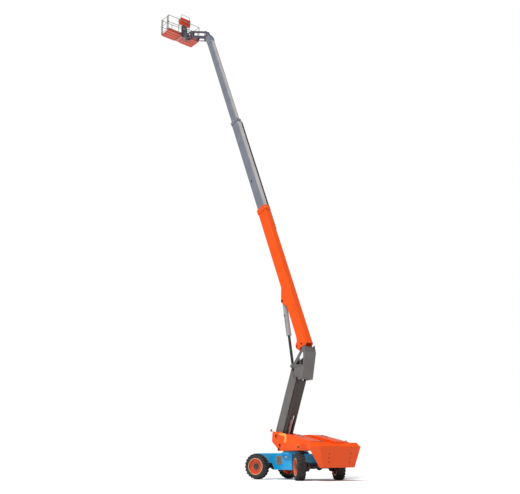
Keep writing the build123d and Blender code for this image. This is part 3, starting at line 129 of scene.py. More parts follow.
def facing(direction, least=0.9):
    """Test for faces whose normal points a way."""
    way = Vector(direction).normalized()
    return lambda face: face.normal.dot(way) > least


def middle(edge):
    """Middle of an edge."""
    return (edge.verts[0].co + edge.verts[1].co) / 2


def lengthwise(edge, least=0.1):
    """Whether an edge runs along x for more than a length."""
    return abs((edge.verts[0].co - edge.verts[1].co).x) > least


def dished(piece, way, rim, shift):
    """Inset the faces of a piece that point a way, and shift what is inside the rim."""
    choose(piece, "FACE", facing(way))
    bpy.ops.mesh.inset(thickness=rim)
    bpy.ops.transform.translate(value=shift)


def tapered(piece, way, shares, least=0.9):
    """Shrink the faces of a piece that point a way."""
    choose(piece, "FACE", facing(way, least))
    bpy.ops.transform.resize(value=shares)


def rounded(piece, width, segments=2, angle=SHARP):
    """Round a piece's sharp edges and shade it smooth."""
    take(piece)
    bevel = piece.modifiers.new("Edges", "BEVEL")
    bevel.width = width
    bevel.segments = segments
    bevel.limit_method = "ANGLE"
    bevel.angle_limit = math.radians(angle)
    bpy.ops.object.modifier_apply(modifier=bevel.name)
    return smoothed(piece, angle)


def smoothed(piece, angle=SHARP):
    """Shade a piece smooth with its flats kept flat: large faces set the normals of their corners."""
    take(piece)
    bpy.ops.object.shade_smooth_by_angle(angle=math.radians(angle))
    weigh = piece.modifiers.new("Flats", "WEIGHTED_NORMAL")
    weigh.weight = 100
    weigh.keep_sharp = True
    bpy.ops.object.modifier_apply(modifier=weigh.name)
    return piece


def placed(name, data):
    """New object in the scene for a mesh, curve, camera or lamp."""
    piece = bpy.data.objects.new(name, data)
    bpy.context.scene.collection.objects.link(piece)
    return piece


def whole(piece):
    """Enter edit mode with all of a piece selected."""
    take(piece)
    bpy.ops.object.mode_set(mode="EDIT")
    bpy.ops.mesh.select_all(action="SELECT")


def moved(piece, place):
    """Move a piece's mesh by a matrix."""
    piece.data.transform(place)
    return piece


def joined(name, pieces):
    """One mesh made of several."""
    take(pieces[0])
    for piece in pieces[1:]:
        piece.select_set(True)
    if len(pieces) > 1:
        bpy.ops.object.join()
    bpy.context.object.name = name
    bpy.context.object.data.name = name
    return bpy.context.object


def repeated(model, name, places):
    """Copies of a model, one for each matrix, as one mesh."""
    copies = []
    for place in places:
        copies.append(moved(placed(name, model.data.copy()), place))
    bpy.data.objects.remove(model)
    return joined(name, copies)


def member(foot, along):
    """Frame of a leaning member: local x along it, y to the machine's left, z to its upper side."""
    x = along.normalized()
    z = x.cross(ACROSS)
    turn = Matrix((x, ACROSS, z)).transposed().to_4x4()
    return Matrix.Translation(foot) @ turn


def spot(point, normal):
    """Frame that stands on a surface at a point, local z along the normal."""
    return Matrix.Translation(point) @ normal.to_track_quat("Z", "Y").to_matrix().to_4x4()


def wear(piece, body, material):
    """Give a piece its material, and the body that it rides on."""
    piece.data.materials.clear()
    piece.data.materials.append(MATERIALS[material])
    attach(piece, body)
    return piece


def shell(node, width, shortest, material, body):
    """Stand a copy of a CAD piece in its place, with its long sharp edges rounded."""
    piece = placed(node + "_shell", frame["nodes"][node].data.copy())
    whole(piece)
    bpy.ops.mesh.remove_doubles(threshold=0.00002)
    bpy.ops.mesh.dissolve_limited(angle_limit=math.radians(1))
    choose(piece, "EDGE", lambda e: len(e.link_faces) == 2 and e.calc_length() > shortest
           and e.calc_face_angle() > math.radians(25))
    bpy.ops.mesh.bevel(offset=width, segments=3, profile=0.5, affect="EDGES", clamp_overlap=True)
    smoothed(piece)
    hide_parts(node)
    return wear(piece, body, material)


# ---------------------------------------------------------------- materials

MATERIALS = {}


def srgb(red, green, blue):
    """Linear colour from the 0 to 255 values of a display."""
    def line(value):
        value = value / 255
        return value / 12.92 if value <= 0.04045 else ((value + 0.055) / 1.055) ** 2.4
    return (line(red), line(green), line(blue), 1.0)


def shade(colour, share):
    """The same colour, lighter or darker."""
    return tuple(min(1.0, c * share) for c in colour[:3]) + (1.0,)


class Graph:
    """A material's node tree, and the few nodes that the finishes share."""

    def __init__(self, name):
        self.material = bpy.data.materials.new(name)
        self.material.use_nodes = True
        self.nodes = self.material.node_tree.nodes
        self.links = self.material.node_tree.links
        self.shader = self.nodes["Principled BSDF"]
        self.place = self.nodes.new("ShaderNodeTexCoord").outputs["Object"]
        MATERIALS[name] = self.material

    def link(self, source, target):
        self.links.new(source, target)

    def surface(self, base, roughness):
        """Drive the shader's colour and roughness."""
        self.link(base, self.shader.inputs["Base Color"])
        self.link(roughness, self.shader.inputs["Roughness"])

    def plain(self, socket, value):
        """Set one of the shader's sockets to the same value all over."""
        self.shader.inputs[socket].default_value = value

    def noise(self, scale, detail=3.0, stretch=None):
        node = self.nodes.new("ShaderNodeTexNoise")
        node.inputs["Scale"].default_value = scale
        node.inputs["Detail"].default_value = detail
        source = self.place
        if stretch:
            mapping = self.nodes.new("ShaderNodeMapping")
            mapping.inputs["Scale"].default_value = stretch
            self.link(self.place, mapping.inputs["Vector"])
            source = mapping.outputs["Vector"]
        self.link(source, node.inputs["Vector"])
        return node.outputs["Fac"]

    def ramp(self, value, low, high, start=0.0, end=1.0):
        node = self.nodes.new("ShaderNodeMapRange")
        node.inputs["From Min"].default_value = low
        node.inputs["From Max"].default_value = high
        node.inputs["To Min"].default_value = start
        node.inputs["To Max"].default_value = end
        self.link(value, node.inputs["Value"])
        return node.outputs["Result"]

    def mix(self, share, first, second):
        node = self.nodes.new("ShaderNodeMix")
        node.data_type = "RGBA"
        self.link(share, node.inputs["Factor"])
        for socket, value in (("A", first), ("B", second)):
            slot = [s for s in node.inputs if s.name == socket and s.type == "RGBA"][0]
            if isinstance(value, tuple):
                slot.default_value = value
            else:
                self.link(value, slot)
        return [s for s in node.outputs if s.type == "RGBA"][0]

    def math(self, operation, first, second):
        node = self.nodes.new("ShaderNodeMath")
        node.operation = operation
        for index, value in enumerate((first, second)):
            if isinstance(value, (int, float)):
                node.inputs[index].default_value = value
            else:
                self.link(value, node.inputs[index])
        return node.outputs["Value"]

    def height(self):
        node = self.nodes.new("ShaderNodeSeparateXYZ")
        self.link(self.place, node.inputs["Vector"])
        return node.outputs["Z"]

    def bump(self, value, depth, strength=1.0):
        node = self.nodes.new("ShaderNodeBump")
        node.inputs["Distance"].default_value = depth
        node.inputs["Strength"].default_value = strength
        self.link(value, node.inputs["Height"])
        self.link(node.outputs["Normal"], self.shader.inputs["Normal"])


def finish_paint(name, colour, rough=0.3, coat=0.3, dust=0.5, streak=0.0, grain=0.00008):
    """Sprayed paint: faint clouding, orange peel, dust that settles low down and rain streaks."""
    graph = Graph(name)
    cloud = graph.ramp(graph.noise(1.7, 4.0), 0.35, 0.65)
    base = graph.mix(cloud, shade(colour, 0.93), shade(colour, 1.05))
    low = graph.ramp(graph.height(), 1.5, 0.2, 0.0, dust)
    patch = graph.math("MULTIPLY", low, graph.ramp(graph.noise(5.0, 6.0), 0.42, 0.7))
    base = graph.mix(patch, base, srgb(150, 138, 120))
    if streak:
        lines = graph.ramp(graph.noise(9.0, 3.0, (1.0, 1.0, 0.06)), 0.52, 0.75, 0.0, streak)
        base = graph.mix(lines, base, shade(colour, 0.55))
    graph.surface(base, graph.ramp(graph.noise(14.0, 5.0), 0.3, 0.7, rough * 0.8, rough * 1.25))
    graph.plain("Coat Weight", coat)
    graph.plain("Coat Roughness", 0.12)
    graph.plain("Specular IOR Level", 0.3)
    graph.bump(graph.noise(260.0, 2.0), grain)
    return graph.material


def finish_casting(name, colour, rough=0.55, pits=0.0012, scale=38.0, dust=0.5, spread=0.16):
    """Painted casting: a coarse skin with darker hollows."""
    graph = Graph(name)
    skin = graph.noise(scale, 8.0)
    base = graph.mix(graph.ramp(skin, 0.3, 0.7), shade(colour, 1 - spread), shade(colour, 1 + spread / 3))
    low = graph.ramp(graph.height(), 1.1, 0.1, 0.0, dust)
    patch = graph.math("MULTIPLY", low, graph.ramp(graph.noise(6.0, 6.0), 0.4, 0.65))
    base = graph.mix(patch, base, srgb(140, 128, 112))
    graph.surface(base, graph.ramp(skin, 0.3, 0.7, rough * 0.85, rough * 1.15))
    graph.plain("Specular IOR Level", 0.25)
    graph.bump(skin, pits)
    return graph.material


def finish_rubber(name, colour):
    """Tyre rubber: dull, a little dusty, with fine moulding grain."""
    graph = Graph(name)
    cloud = graph.ramp(graph.noise(7.0, 6.0), 0.35, 0.7)
    base = graph.mix(cloud, shade(colour, 0.75), shade(colour, 1.5))
    dusty = graph.ramp(graph.noise(22.0, 8.0), 0.55, 0.8, 0.0, 0.35)
    base = graph.mix(dusty, base, srgb(120, 110, 98))
    graph.surface(base, graph.ramp(cloud, 0.0, 1.0, 0.72, 0.9))
    graph.bump(graph.noise(180.0, 4.0), 0.0006)
    return graph.material


def finish_metal(name, colour, rough=0.25, brushed=(1.0, 1.0, 1.0), depth=0.00004):
    """Bare metal: plated, machined or galvanised, with a grain that a stretch can draw out."""
    graph = Graph(name)
    grain = graph.noise(120.0, 4.0, brushed)
    base = graph.mix(graph.ramp(grain, 0.3, 0.7), shade(colour, 0.88), shade(colour, 1.08))
    graph.surface(base, graph.ramp(grain, 0.3, 0.7, rough * 0.75, rough * 1.3))
    graph.plain("Metallic", 1.0)
    graph.bump(grain, depth)
    return graph.material


def finish_plastic(name, colour, rough=0.45, depth=0.00015, scale=420.0):
    """Moulded plastic with a fine leather grain."""
    graph = Graph(name)
    cloud = graph.ramp(graph.noise(6.0, 4.0), 0.35, 0.65)
    graph.surface(graph.mix(cloud, shade(colour, 0.88), shade(colour, 1.1)),
                  graph.ramp(graph.noise(30.0, 4.0), 0.3, 0.7, rough * 0.85, rough * 1.15))
    graph.bump(graph.noise(scale, 3.0), depth)
    return graph.material


def finish_lens(name, colour):
    """Clear coloured lens with vertical flutes."""
    graph = Graph(name)
    flutes = graph.noise(160.0, 0.0, (1.0, 1.0, 0.02))
    graph.surface(graph.mix(flutes, shade(colour, 0.8), shade(colour, 1.1)),
                  graph.ramp(flutes, 0.3, 0.7, 0.08, 0.16))
    graph.plain("Transmission Weight", 0.55)
    graph.plain("IOR", 1.49)
    graph.bump(flutes, 0.001)
    return graph.material


NODE_FINISH = {
    "frame_blue": ("chassis_frame", "tie_down_lugs"),
    "axle_grey": ("front_axle", "rear_axle") + tuple("knuckle_" + c for c in CORNERS),
    "ring_steel": ("slew_ring",),
    "tyre_rubber": tuple("tyre_" + c for c in CORNERS),
    "rim_orange": tuple("rim_" + c for c in CORNERS),
    "body_orange": ("turntable_frame", "hood_left", "hood_right", "door_left", "door_right", "boom_base"),
    "weight_orange": ("counterweight",),
    "boom_grey": ("boom_mid", "boom_tip"),
    "riser_grey": ("riser_front_link", "upright"),
    # painted shade: the rear link wears a darker copy of the riser grey, for its face that turns away from
    # the light
    "dark_grey": ("riser_rear_link",),
    "cylinder_grey": ("riser_cylinder_barrel", "lift_cylinder_barrel", "jib_cylinder_barrel"),
    "rod_chrome": ("riser_cylinder_rod", "lift_cylinder_rod", "jib_cylinder_rod"),
    "engine_dark": ("engine_block",),
    "tank_plastic": ("fluid_tank",),
    "lens_amber": ("beacon",),
    "chain_plastic": ("energy_chain",),
    "jib_dark": ("jib_base", "jib_lower_arm", "jib_upper_arm", "jib_head", "platform_rotator"),
    "basket_red": ("platform_floor",),
    "rail_grey": ("platform_rails", "platform_gate"),
    "console_orange": ("control_console",),
}


def paint_colour(name, description, colour):
    """Colour that a user can change, with its default."""
    return bpy.props.FloatVectorProperty(
        name=name, description=description, subtype="COLOR", size=4, default=colour, min=0, max=1)


class BOOMLIFT_PG_colours(bpy.types.PropertyGroup):
    """Colours that a fleet owner would change."""

    body: paint_colour("Body", "Turntable, hoods and base boom", srgb(255, 88, 4))
    chassis: paint_colour("Chassis", "Undercarriage frame", srgb(0, 164, 226))
    boom: paint_colour("Boom", "Telescoping boom sections", srgb(124, 129, 140))
    riser: paint_colour("Riser", "Riser links and upright", srgb(112, 110, 108))
    rims: paint_colour("Rims", "Wheel rims", srgb(214, 72, 22))
    basket: paint_colour("Basket", "Platform floor and toe boards", srgb(206, 98, 82))


class BOOMLIFT_OT_finishes(bpy.types.Operator):
    """Make every finish and give each solid its own"""

    bl_idname = "boomlift.finishes"
    bl_label = "Finishes"

    def execute(self, context):
        colours = context.scene.boomlift_colours
        body = tuple(colours.body)
        finish_paint("body_orange", body, rough=0.32, dust=0.15)
        finish_casting("weight_orange", shade(body, 0.92), rough=0.42, pits=0.0005, dust=0.06, spread=0.05)
        finish_paint("frame_blue", tuple(colours.chassis), rough=0.28, dust=0.3)
        finish_paint("boom_grey", tuple(colours.boom), rough=0.36, coat=0.2)
        finish_paint("riser_grey", tuple(colours.riser), rough=0.4, coat=0.15, streak=0.2)
        # painted shade: a darker copy of the riser grey, for the rear link
        finish_paint("dark_grey", srgb(62, 57, 55), rough=0.42, coat=0.1)
        finish_paint("cylinder_grey", srgb(165, 172, 175), rough=0.3, coat=0.3)
        finish_paint("rim_orange", tuple(colours.rims), rough=0.34, dust=0.35)
        finish_paint("jib_dark", srgb(84, 80, 92), rough=0.38, coat=0.2)
        finish_paint("basket_red", tuple(colours.basket), rough=0.4, coat=0.1)
        finish_casting("axle_grey", srgb(58, 58, 60), rough=0.5, pits=0.0008)
        finish_casting("engine_dark", srgb(45, 45, 46), rough=0.5)
        finish_metal("ring_steel", srgb(120, 120, 122), rough=0.38, brushed=(1.0, 1.0, 0.1))
        finish_metal("rod_chrome", srgb(120, 124, 130), rough=0.12, brushed=(1.0, 1.0, 0.05), depth=0.00001)
        finish_metal("rail_grey", srgb(176, 172, 170), rough=0.42)
        finish_metal("zinc", srgb(170, 168, 160), rough=0.35)
        finish_casting("hub_dark", srgb(52, 46, 44), rough=0.5, pits=0.0004)
        finish_paint("flange_pale", srgb(232, 196, 160), rough=0.4, coat=0.1, dust=0.2)
        finish_rubber("tyre_rubber", srgb(44, 43, 42))
        finish_casting("pin_dark", srgb(70, 34, 30), rough=0.45, pits=0.0003, dust=0.1)
        finish_paint("vent_tan", srgb(150, 120, 96), rough=0.5, coat=0.0)
        # painted highlight: light orange for the lit strip on the cheeks of the nose
        finish_paint("lit_orange", srgb(255, 176, 84), rough=0.4, coat=0.2, dust=0.1)
        finish_plastic("button_red", srgb(205, 24, 20), rough=0.3)
        finish_plastic("pad_white", srgb(214, 210, 198), rough=0.5)
        # painted highlight: pale grey of the lit back of the boom's inner sections
        finish_paint("painted_highlight_pale", srgb(196, 190, 188), rough=0.34, coat=0.2)
        finish_paint("strip_brown", srgb(120, 66, 48), rough=0.5, coat=0.0)
        finish_casting("rail_dark", srgb(84, 82, 82), rough=0.45, pits=0.0003)
        finish_plastic("tank_plastic", srgb(38, 38, 40), rough=0.5)
        finish_plastic("chain_plastic", srgb(36, 36, 38), rough=0.45)
        finish_plastic("console_orange", srgb(226, 72, 28), rough=0.35)
        finish_plastic("black_plastic", srgb(24, 24, 26), rough=0.5)
        finish_plastic("plate_white", srgb(226, 226, 222), rough=0.4)
        finish_lens("lens_amber", srgb(245, 150, 40))
        for finish, nodes in NODE_FINISH.items():
            for node in nodes:
                mesh = frame["nodes"][node].data
                mesh.materials.clear()
                mesh.materials.append(MATERIALS[finish])
                take(frame["nodes"][node])
                bpy.ops.object.shade_smooth_by_angle(angle=math.radians(SHARP))
        return {"FINISHED"}


# ---------------------------------------------------------------- stage


SENSOR_W = 36  # millimetres
FAR = 2000  # metres that the camera still sees
SUN_SOFTNESS = math.radians(9)
SKY_TINT = (0.97, 0.98, 1.0, 1.0)
PAPER = (0.95, 0.95, 0.95, 1.0)
PAPER_GLOW = 0.07  # seen by the camera alone, so that it lights nothing


class BOOMLIFT_PG_stage(bpy.types.PropertyGroup):
    """Where the camera stands and how the light falls."""

    camera_place: bpy.props.FloatVectorProperty(
        name="Camera", description="Where the camera stands", subtype="XYZ", unit="LENGTH",
        default=(-30.946, 23.560, 0.907))
    camera_way: bpy.props.FloatVectorProperty(
        name="Looks along", description="Direction that the camera looks in", subtype="DIRECTION",
        default=(0.7489, -0.6036, 0.2736))
    camera_lens: bpy.props.FloatProperty(
        name="Lens", description="Focal length in millimetres", default=51.59, min=10)
    key_way: bpy.props.FloatVectorProperty(
        name="Key light", description="Direction that the key light shines in", subtype="DIRECTION",
        default=(0.05, -0.42, -0.90))
    key_strength: bpy.props.FloatProperty(
        name="Key strength", description="Sun strength", default=3.1, min=0)
    sky_strength: bpy.props.FloatProperty(name="Sky", description="Strength of the sky", default=0.28, min=0)
    floor_size: bpy.props.FloatProperty(
        name="Floor", description="Width of the floor", unit="LENGTH", default=900.0, min=10)


class BOOMLIFT_OT_stage(bpy.types.Operator):
    """Camera, soft light and a plain pale floor"""

    bl_idname = "boomlift.stage"
    bl_label = "Stage"

    def execute(self, context):
        stage = context.scene.boomlift_stage
        camera = placed("camera", bpy.data.cameras.new("camera"))
        camera.location = stage.camera_place
        camera.rotation_mode = "QUATERNION"
        camera.rotation_quaternion = Vector(stage.camera_way).to_track_quat("-Z", "Y")
        camera.data.lens = stage.camera_lens
        camera.data.sensor_width = SENSOR_W
        camera.data.clip_end = FAR
        context.scene.camera = camera
        key = placed("key_light", bpy.data.lights.new("key_light", "SUN"))
        key.data.energy = stage.key_strength
        key.data.angle = SUN_SOFTNESS
        key.rotation_mode = "QUATERNION"
        key.rotation_quaternion = Vector(stage.key_way).to_track_quat("-Z", "Y")
        self.sky(context.scene, stage.sky_strength)
        self.floor(stage.floor_size)
        context.scene.view_settings.view_transform = "Standard"
        return {"FINISHED"}

    def sky(self, scene, strength):
        """White to the eye and in reflections, a plain soft light on everything else."""
        world = bpy.data.worlds.new("sky")
        scene.world = world
        world.use_nodes = True
        nodes = world.node_tree.nodes
        links = world.node_tree.links
        plain = nodes["Background"]
        plain.inputs["Color"].default_value = SKY_TINT
        plain.inputs["Strength"].default_value = strength
        white = nodes.new("ShaderNodeBackground")
        white.inputs["Color"].default_value = (1.0, 1.0, 1.0, 1.0)
        path = nodes.new("ShaderNodeLightPath")
        seen = nodes.new("ShaderNodeMath")
        seen.operation = "MAXIMUM"
        links.new(path.outputs["Is Camera Ray"], seen.inputs[0])
        links.new(path.outputs["Is Transmission Ray"], seen.inputs[1])
        mix = nodes.new("ShaderNodeMixShader")
        links.new(seen.outputs["Value"], mix.inputs["Fac"])
        links.new(plain.outputs["Background"], mix.inputs[1])
        links.new(white.outputs["Background"], mix.inputs[2])
        links.new(mix.outputs["Shader"], nodes["World Output"].inputs["Surface"])

    def floor(self, size):
        """Pale floor that keeps the shadow and meets the white backdrop."""
        clear()
        bpy.ops.mesh.primitive_plane_add(size=size)
        floor = named("floor")
        material = bpy.data.materials.new("floor_paper")
        material.use_nodes = True
        nodes = material.node_tree.nodes
        links = material.node_tree.links
        nodes.remove(nodes["Principled BSDF"])
        paper = nodes.new("ShaderNodeBsdfDiffuse")
        paper.inputs["Color"].default_value = PAPER
        glow = nodes.new("ShaderNodeEmission")
        path = nodes.new("ShaderNodeLightPath")
        dim = nodes.new("ShaderNodeMath")
        dim.operation = "MULTIPLY"
        dim.inputs[1].default_value = PAPER_GLOW
        links.new(path.outputs["Is Camera Ray"], dim.inputs[0])
        links.new(dim.outputs["Value"], glow.inputs["Strength"])
        add = nodes.new("ShaderNodeAddShader")
        links.new(paper.outputs["BSDF"], add.inputs[0])
        links.new(glow.outputs["Emission"], add.inputs[1])
        links.new(add.outputs["Shader"], nodes["Material Output"].inputs["Surface"])
        floor.data.materials.append(material)


# ---------------------------------------------------------------- shells of the solids

SHELLS = (
    # node, body, edge radius, shortest edge that is rounded, finish
    ("chassis_frame", "chassis", 0.012, 0.12, "frame_blue"),
    ("counterweight", "turntable", 0.022, 0.2, "weight_orange"),
    ("hood_left", "turntable", 0.014, 0.25, "body_orange"),
    ("hood_right", "turntable", 0.014, 0.25, "body_orange"),
    ("turntable_frame", "turntable", 0.006, 0.2, "body_orange"),
    ("upright", "upright", 0.005, 0.12, "riser_grey"),
    ("riser_front_link", "front_link", 0.012, 0.2, "riser_grey"),
    ("control_console", "rotator", 0.018, 0.12, "console_orange"),
)


class BOOMLIFT_OT_shells(bpy.types.Operator):
    """Round the sharp edges of the main plates and castings"""

    bl_idname = "boomlift.shells"
    bl_label = "Rounded shells"

    def execute(self, context):
        for node, body, width, shortest, finish in SHELLS:
            shell(node, width, shortest, finish, body)
        return {"FINISHED"}


# ---------------------------------------------------------------- small things that recur


def revolved(name, profile, steps=64):
    """Solid of revolution about local z, from a closed profile of (radius, height) points."""
    mesh = bpy.data.meshes.new(name)
    count = len(profile)
    mesh.from_pydata([(r, 0, z) for r, z in profile], [(i, (i + 1) % count) for i in range(count)], [])
    piece = placed(name, mesh)
    whole(piece)
    bpy.ops.mesh.spin(steps=steps, angle=2 * math.pi, center=(0, 0, 0), axis=(0, 0, 1))
    bpy.ops.mesh.select_all(action="SELECT")
    bpy.ops.mesh.remove_doubles(threshold=0.00001)
    bpy.ops.mesh.normals_make_consistent(inside=False)
    take(piece)
    bpy.ops.object.shade_smooth_by_angle(angle=math.radians(SHARP))
    return piece


def plate(name, outline, thickness, edge=0.002):
    """Flat plate from an outline of (x, y) points, standing from local z = 0 to its thickness."""
    mesh = bpy.data.meshes.new(name)
    mesh.from_pydata([(x, y, 0) for x, y in outline], [], [tuple(range(len(outline)))])
    piece = placed(name, mesh)
    whole(piece)
    bpy.ops.mesh.extrude_region_move(TRANSFORM_OT_translate={"value": (0, 0, thickness)})
    bpy.ops.mesh.select_all(action="SELECT")
    bpy.ops.mesh.normals_make_consistent(inside=False)
    return rounded(piece, edge, 2)


def pipe(name, points, radius, bend):
    """Rigid pipe through points, with its corners bent round."""
    curve = bpy.data.curves.new(name, "CURVE")
    curve.dimensions = "3D"
    curve.bevel_depth = radius
    curve.bevel_resolution = 4
    curve.use_fill_caps = True
    route = [Vector(p) for p in points]
    places = [route[0]]
    for before, corner, after in zip(route, route[1:], route[2:]):
        start = corner + (before - corner).normalized() * bend
        end = corner + (after - corner).normalized() * bend
        for share in (0.0, 0.25, 0.5, 0.75, 1.0):
            places.append(start.lerp(corner, share).lerp(corner.lerp(end, share), share))
    places.append(route[-1])
    line = curve.splines.new("POLY")
    line.points.add(len(places) - 1)
    for point, place in zip(line.points, places):
        point.co = (*place, 1)
    piece = placed(name, curve)
    take(piece)
    bpy.ops.object.convert(target="MESH")
    bpy.ops.object.shade_smooth_by_angle(angle=math.radians(40))
    return bpy.context.object


def bolt(name, size):
    """Hexagon head on a washer, standing on local z = 0."""
    head = disc(name, size, size * 0.7, (0, 0, size * 0.5), sides=6)
    dished(head, (0, 0, 1), size * 0.2, (0, 0, size * 0.08))
    rounded(head, size * 0.07, 1)
    washer = disc(name, size * 1.4, size * 0.2, (0, 0, size * 0.1), sides=20)
    rounded(washer, size * 0.05, 1)
    return joined(name, [head, washer])


def ringed(place, radius, count, height=0.0):
    """Frames evenly spaced on a circle about a frame's local z."""
    step = Matrix.Translation((radius, 0, height))
    return [place @ Matrix.Rotation(2 * math.pi * i / count, 4, "Z") @ step for i in range(count)]


def extent(node, place):
    """Lowest and highest corners of a CAD piece, measured in a frame."""
    back = place.inverted()
    points = [back @ v.co for v in frame["nodes"][node].data.vertices]
    low = Vector(min(p[i] for p in points) for i in range(3))
    high = Vector(max(p[i] for p in points) for i in range(3))
    return low, high


SURFACES = {}


def touch(piece, start, way):
    """Frame that stands on a piece, or on a CAD piece given by name, where a line first meets it."""
    if isinstance(piece, str):
        piece = frame["nodes"][piece]
    if piece.name not in SURFACES:
        corners = [v.co for v in piece.data.vertices]
        SURFACES[piece.name] = BVHTree.FromPolygons(corners, [f.vertices for f in piece.data.polygons])
    point, normal, _, _ = SURFACES[piece.name].ray_cast(Vector(start), Vector(way).normalized())
    if point is None:
        raise RuntimeError("nothing met on " + piece.name)
    return spot(point, normal)


def on_side(node, x, z, hand):
    """Frame that stands on a piece's left side for hand 1, or on its right side for -1."""
    return touch(node, (x, hand * BESIDE, z), (0, -hand, 0))


def on_top(node, x, y):
    """Frame that stands on the top of a piece of the turntable."""
    return touch(node, (x, y, ABOVE), (0, 0, -1))


def pin_cap(radius, thickness, bolts=2):
    """End of a pin: a turned disc with a ring of bolts, standing on local z = 0."""
    name = "pin"
    cap = revolved(name, [(0, 0), (radius, 0), (radius, thickness * 0.7), (radius * 0.9, thickness),
                          (radius * 0.3, thickness), (radius * 0.25, thickness * 0.8),
                          (0, thickness * 0.8)], 32)
    model = bolt(name, radius * 0.16)
    heads = repeated(model, name, ringed(Matrix.Translation((0, 0, thickness)), radius * 0.6, bolts))
    return joined(name, [cap, heads])


def pin_caps(node, pivots, radius, thickness, bolts=3):
    """Pin ends on both sides of a piece, at each of some pivots."""
    return [moved(pin_cap(radius, thickness, bolts), on_side(node, pivot.x, pivot.z, hand))
            for pivot in pivots for hand in HANDS]


# ---------------------------------------------------------------- wheels

RIM_R = 0.345
TYRE_R = 0.575
LUG_H = 0.034
LUG_COUNT = 22
LUG_SWEEP = 0.125


def wheel_place(corner):
    """Frame at a wheel's middle, local z outward along its spindle."""
    outward = AXES["roll_" + corner] * (1 if "left" in corner else -1)
    return spot(PIVOTS["roll_" + corner], outward)


def lug(row, step):
    """One tread lug: a slanted bar that runs from the crown over the shoulder."""
    piece = block("lug", (0.052, 0.2, LUG_H + 0.02), (0, 0.1, 0))
    choose(piece, "EDGE", lambda e: abs(middle(e).y - 0.1) < 0.001)
    bpy.ops.mesh.subdivide(number_cuts=5)
    tapered(piece, (0, 0, 1), (0.72, 1, 1), 0.8)
    rounded(piece, 0.005)
    turn = 2 * math.pi * (step + (0.5 if row < 0 else 0.0)) / LUG_COUNT
    for vertex in piece.data.vertices:
        u, w, h = vertex.co
        share = max(0.0, w / 0.2)
        shoulder = max(0.0, w - 0.145) / 0.055
        radius = TYRE_R - 0.027 + h - 0.03 * shoulder ** 2
        angle = turn + (u * (1 + 0.25 * share) - LUG_SWEEP * share ** 0.85) / TYRE_R
        vertex.co = (radius * math.sin(angle), radius * math.cos(angle), row * (w - 0.006))
    if row > 0:
        piece.data.flip_normals()
    return piece


def tyre_model():
    """Tyre about local z: a rounded carcass with rings on its walls and two rows of chevron lugs."""
    half = [(RIM_R + 0.001, 0.157), (RIM_R + 0.02, 0.164), (0.384, 0.181), (0.39, 0.187), (0.396, 0.184),
            (0.42, 0.19), (0.45, 0.192), (0.455, 0.196), (0.461, 0.192), (0.49, 0.184), (0.515, 0.168),
            (0.533, 0.146), (0.541, 0.115), (0.544, 0.06)]
    profile = half + [(r, -z) for r, z in reversed(half)]
    parts = [revolved("tyre", profile, 96)]
    parts += [lug(row, step) for row in HANDS for step in range(LUG_COUNT)]
    return joined("tyre", parts)


def rim_trim():
    """Pale bead flange with a rolled lip, standing just proud of the rim's outer edge."""
    return revolved("rim_flange", [(0.35, 0.171), (0.372, 0.171), (0.3725, 0.178), (0.366, 0.181),
                                   (0.352, 0.179)], 96)


def hub_cap():
    """Final drive in the rim's dish: a stepped drum with a bolted cover."""
    drum = revolved("hub", [(0, 0.128), (0.061, 0.128), (0.097, 0.11), (0.107, 0.086), (0.118, 0.084),
                            (0.122, 0.092), (0.118, 0.118), (0.1, 0.14), (0.085, 0.146), (0.07, 0.152),
                            (0.03, 0.154), (0.026, 0.158), (0, 0.158)], 48)
    small = repeated(bolt("hub", 0.008), "hub", ringed(Matrix.Translation((0, 0, 0.146)), 0.078, 12))
    webs = block("hub", (0.02, 0.007, 0.03), (0.112, 0, 0.104))
    tapered(webs, (0, 0, 1), (0.6, 1, 1))
    rounded(webs, 0.002, 1)
    ribs = repeated(webs, "hub", [Matrix.Rotation(2 * math.pi * i / 16, 4, "Z") for i in range(16)])
    return joined("hub", [drum, small, ribs])


class BOOMLIFT_OT_wheels(bpy.types.Operator):
    """Tyres with close chevron lugs, hubs, wheel nuts and bead flanges"""

    bl_idname = "boomlift.wheels"
    bl_label = "Wheels"

    def execute(self, context):
        nuts = repeated(bolt("nuts", 0.0175), "nuts", ringed(Matrix.Translation((0, 0, 0.09)), 0.16, 10))
        valve = revolved("valve", [(0, 0), (0.006, 0), (0.006, 0.02), (0.004, 0.024), (0.004, 0.04),
                                   (0.005, 0.041), (0.005, 0.05), (0, 0.05)], 12)
        moved(valve, Matrix.Translation((0.285, 0.04, 0.115)))
        models = (
            (tyre_model(), "tyre_", "tyre_rubber"),
            (rim_trim(), "rim_flange_", "flange_pale"),
            (hub_cap(), "hub_", "hub_dark"),
            (nuts, "wheel_nuts_", "zinc"),
            (valve, "valve_", "black_plastic"),
        )
        for corner in CORNERS:
            place = wheel_place(corner)
            for model, name, material in models:
                piece = moved(placed(name + corner + "_look", model.data.copy()), place)
                wear(piece, corner + "_wheel", material)
                if name == "tyre_":
                    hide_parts("tyre_" + corner)
        for model, _, _ in models:
            bpy.data.objects.remove(model)
        return {"FINISHED"}


# ---------------------------------------------------------------- undercarriage

VENT = (0.56, 0.86)  # middle of each vent: metres ahead of the slew axis, and up
VENT_SIZE = 0.37
MARKER = (0.09, 0.99)
TIE_DOWNS = (("front", 1, 1, 0.64), ("rear", -1, 0, 0.8))  # end, way out, box corner, height
TIE_DOWN_Y = 0.19
TIE_DOWN_IN = 0.055
AXLE_Z = 0.575


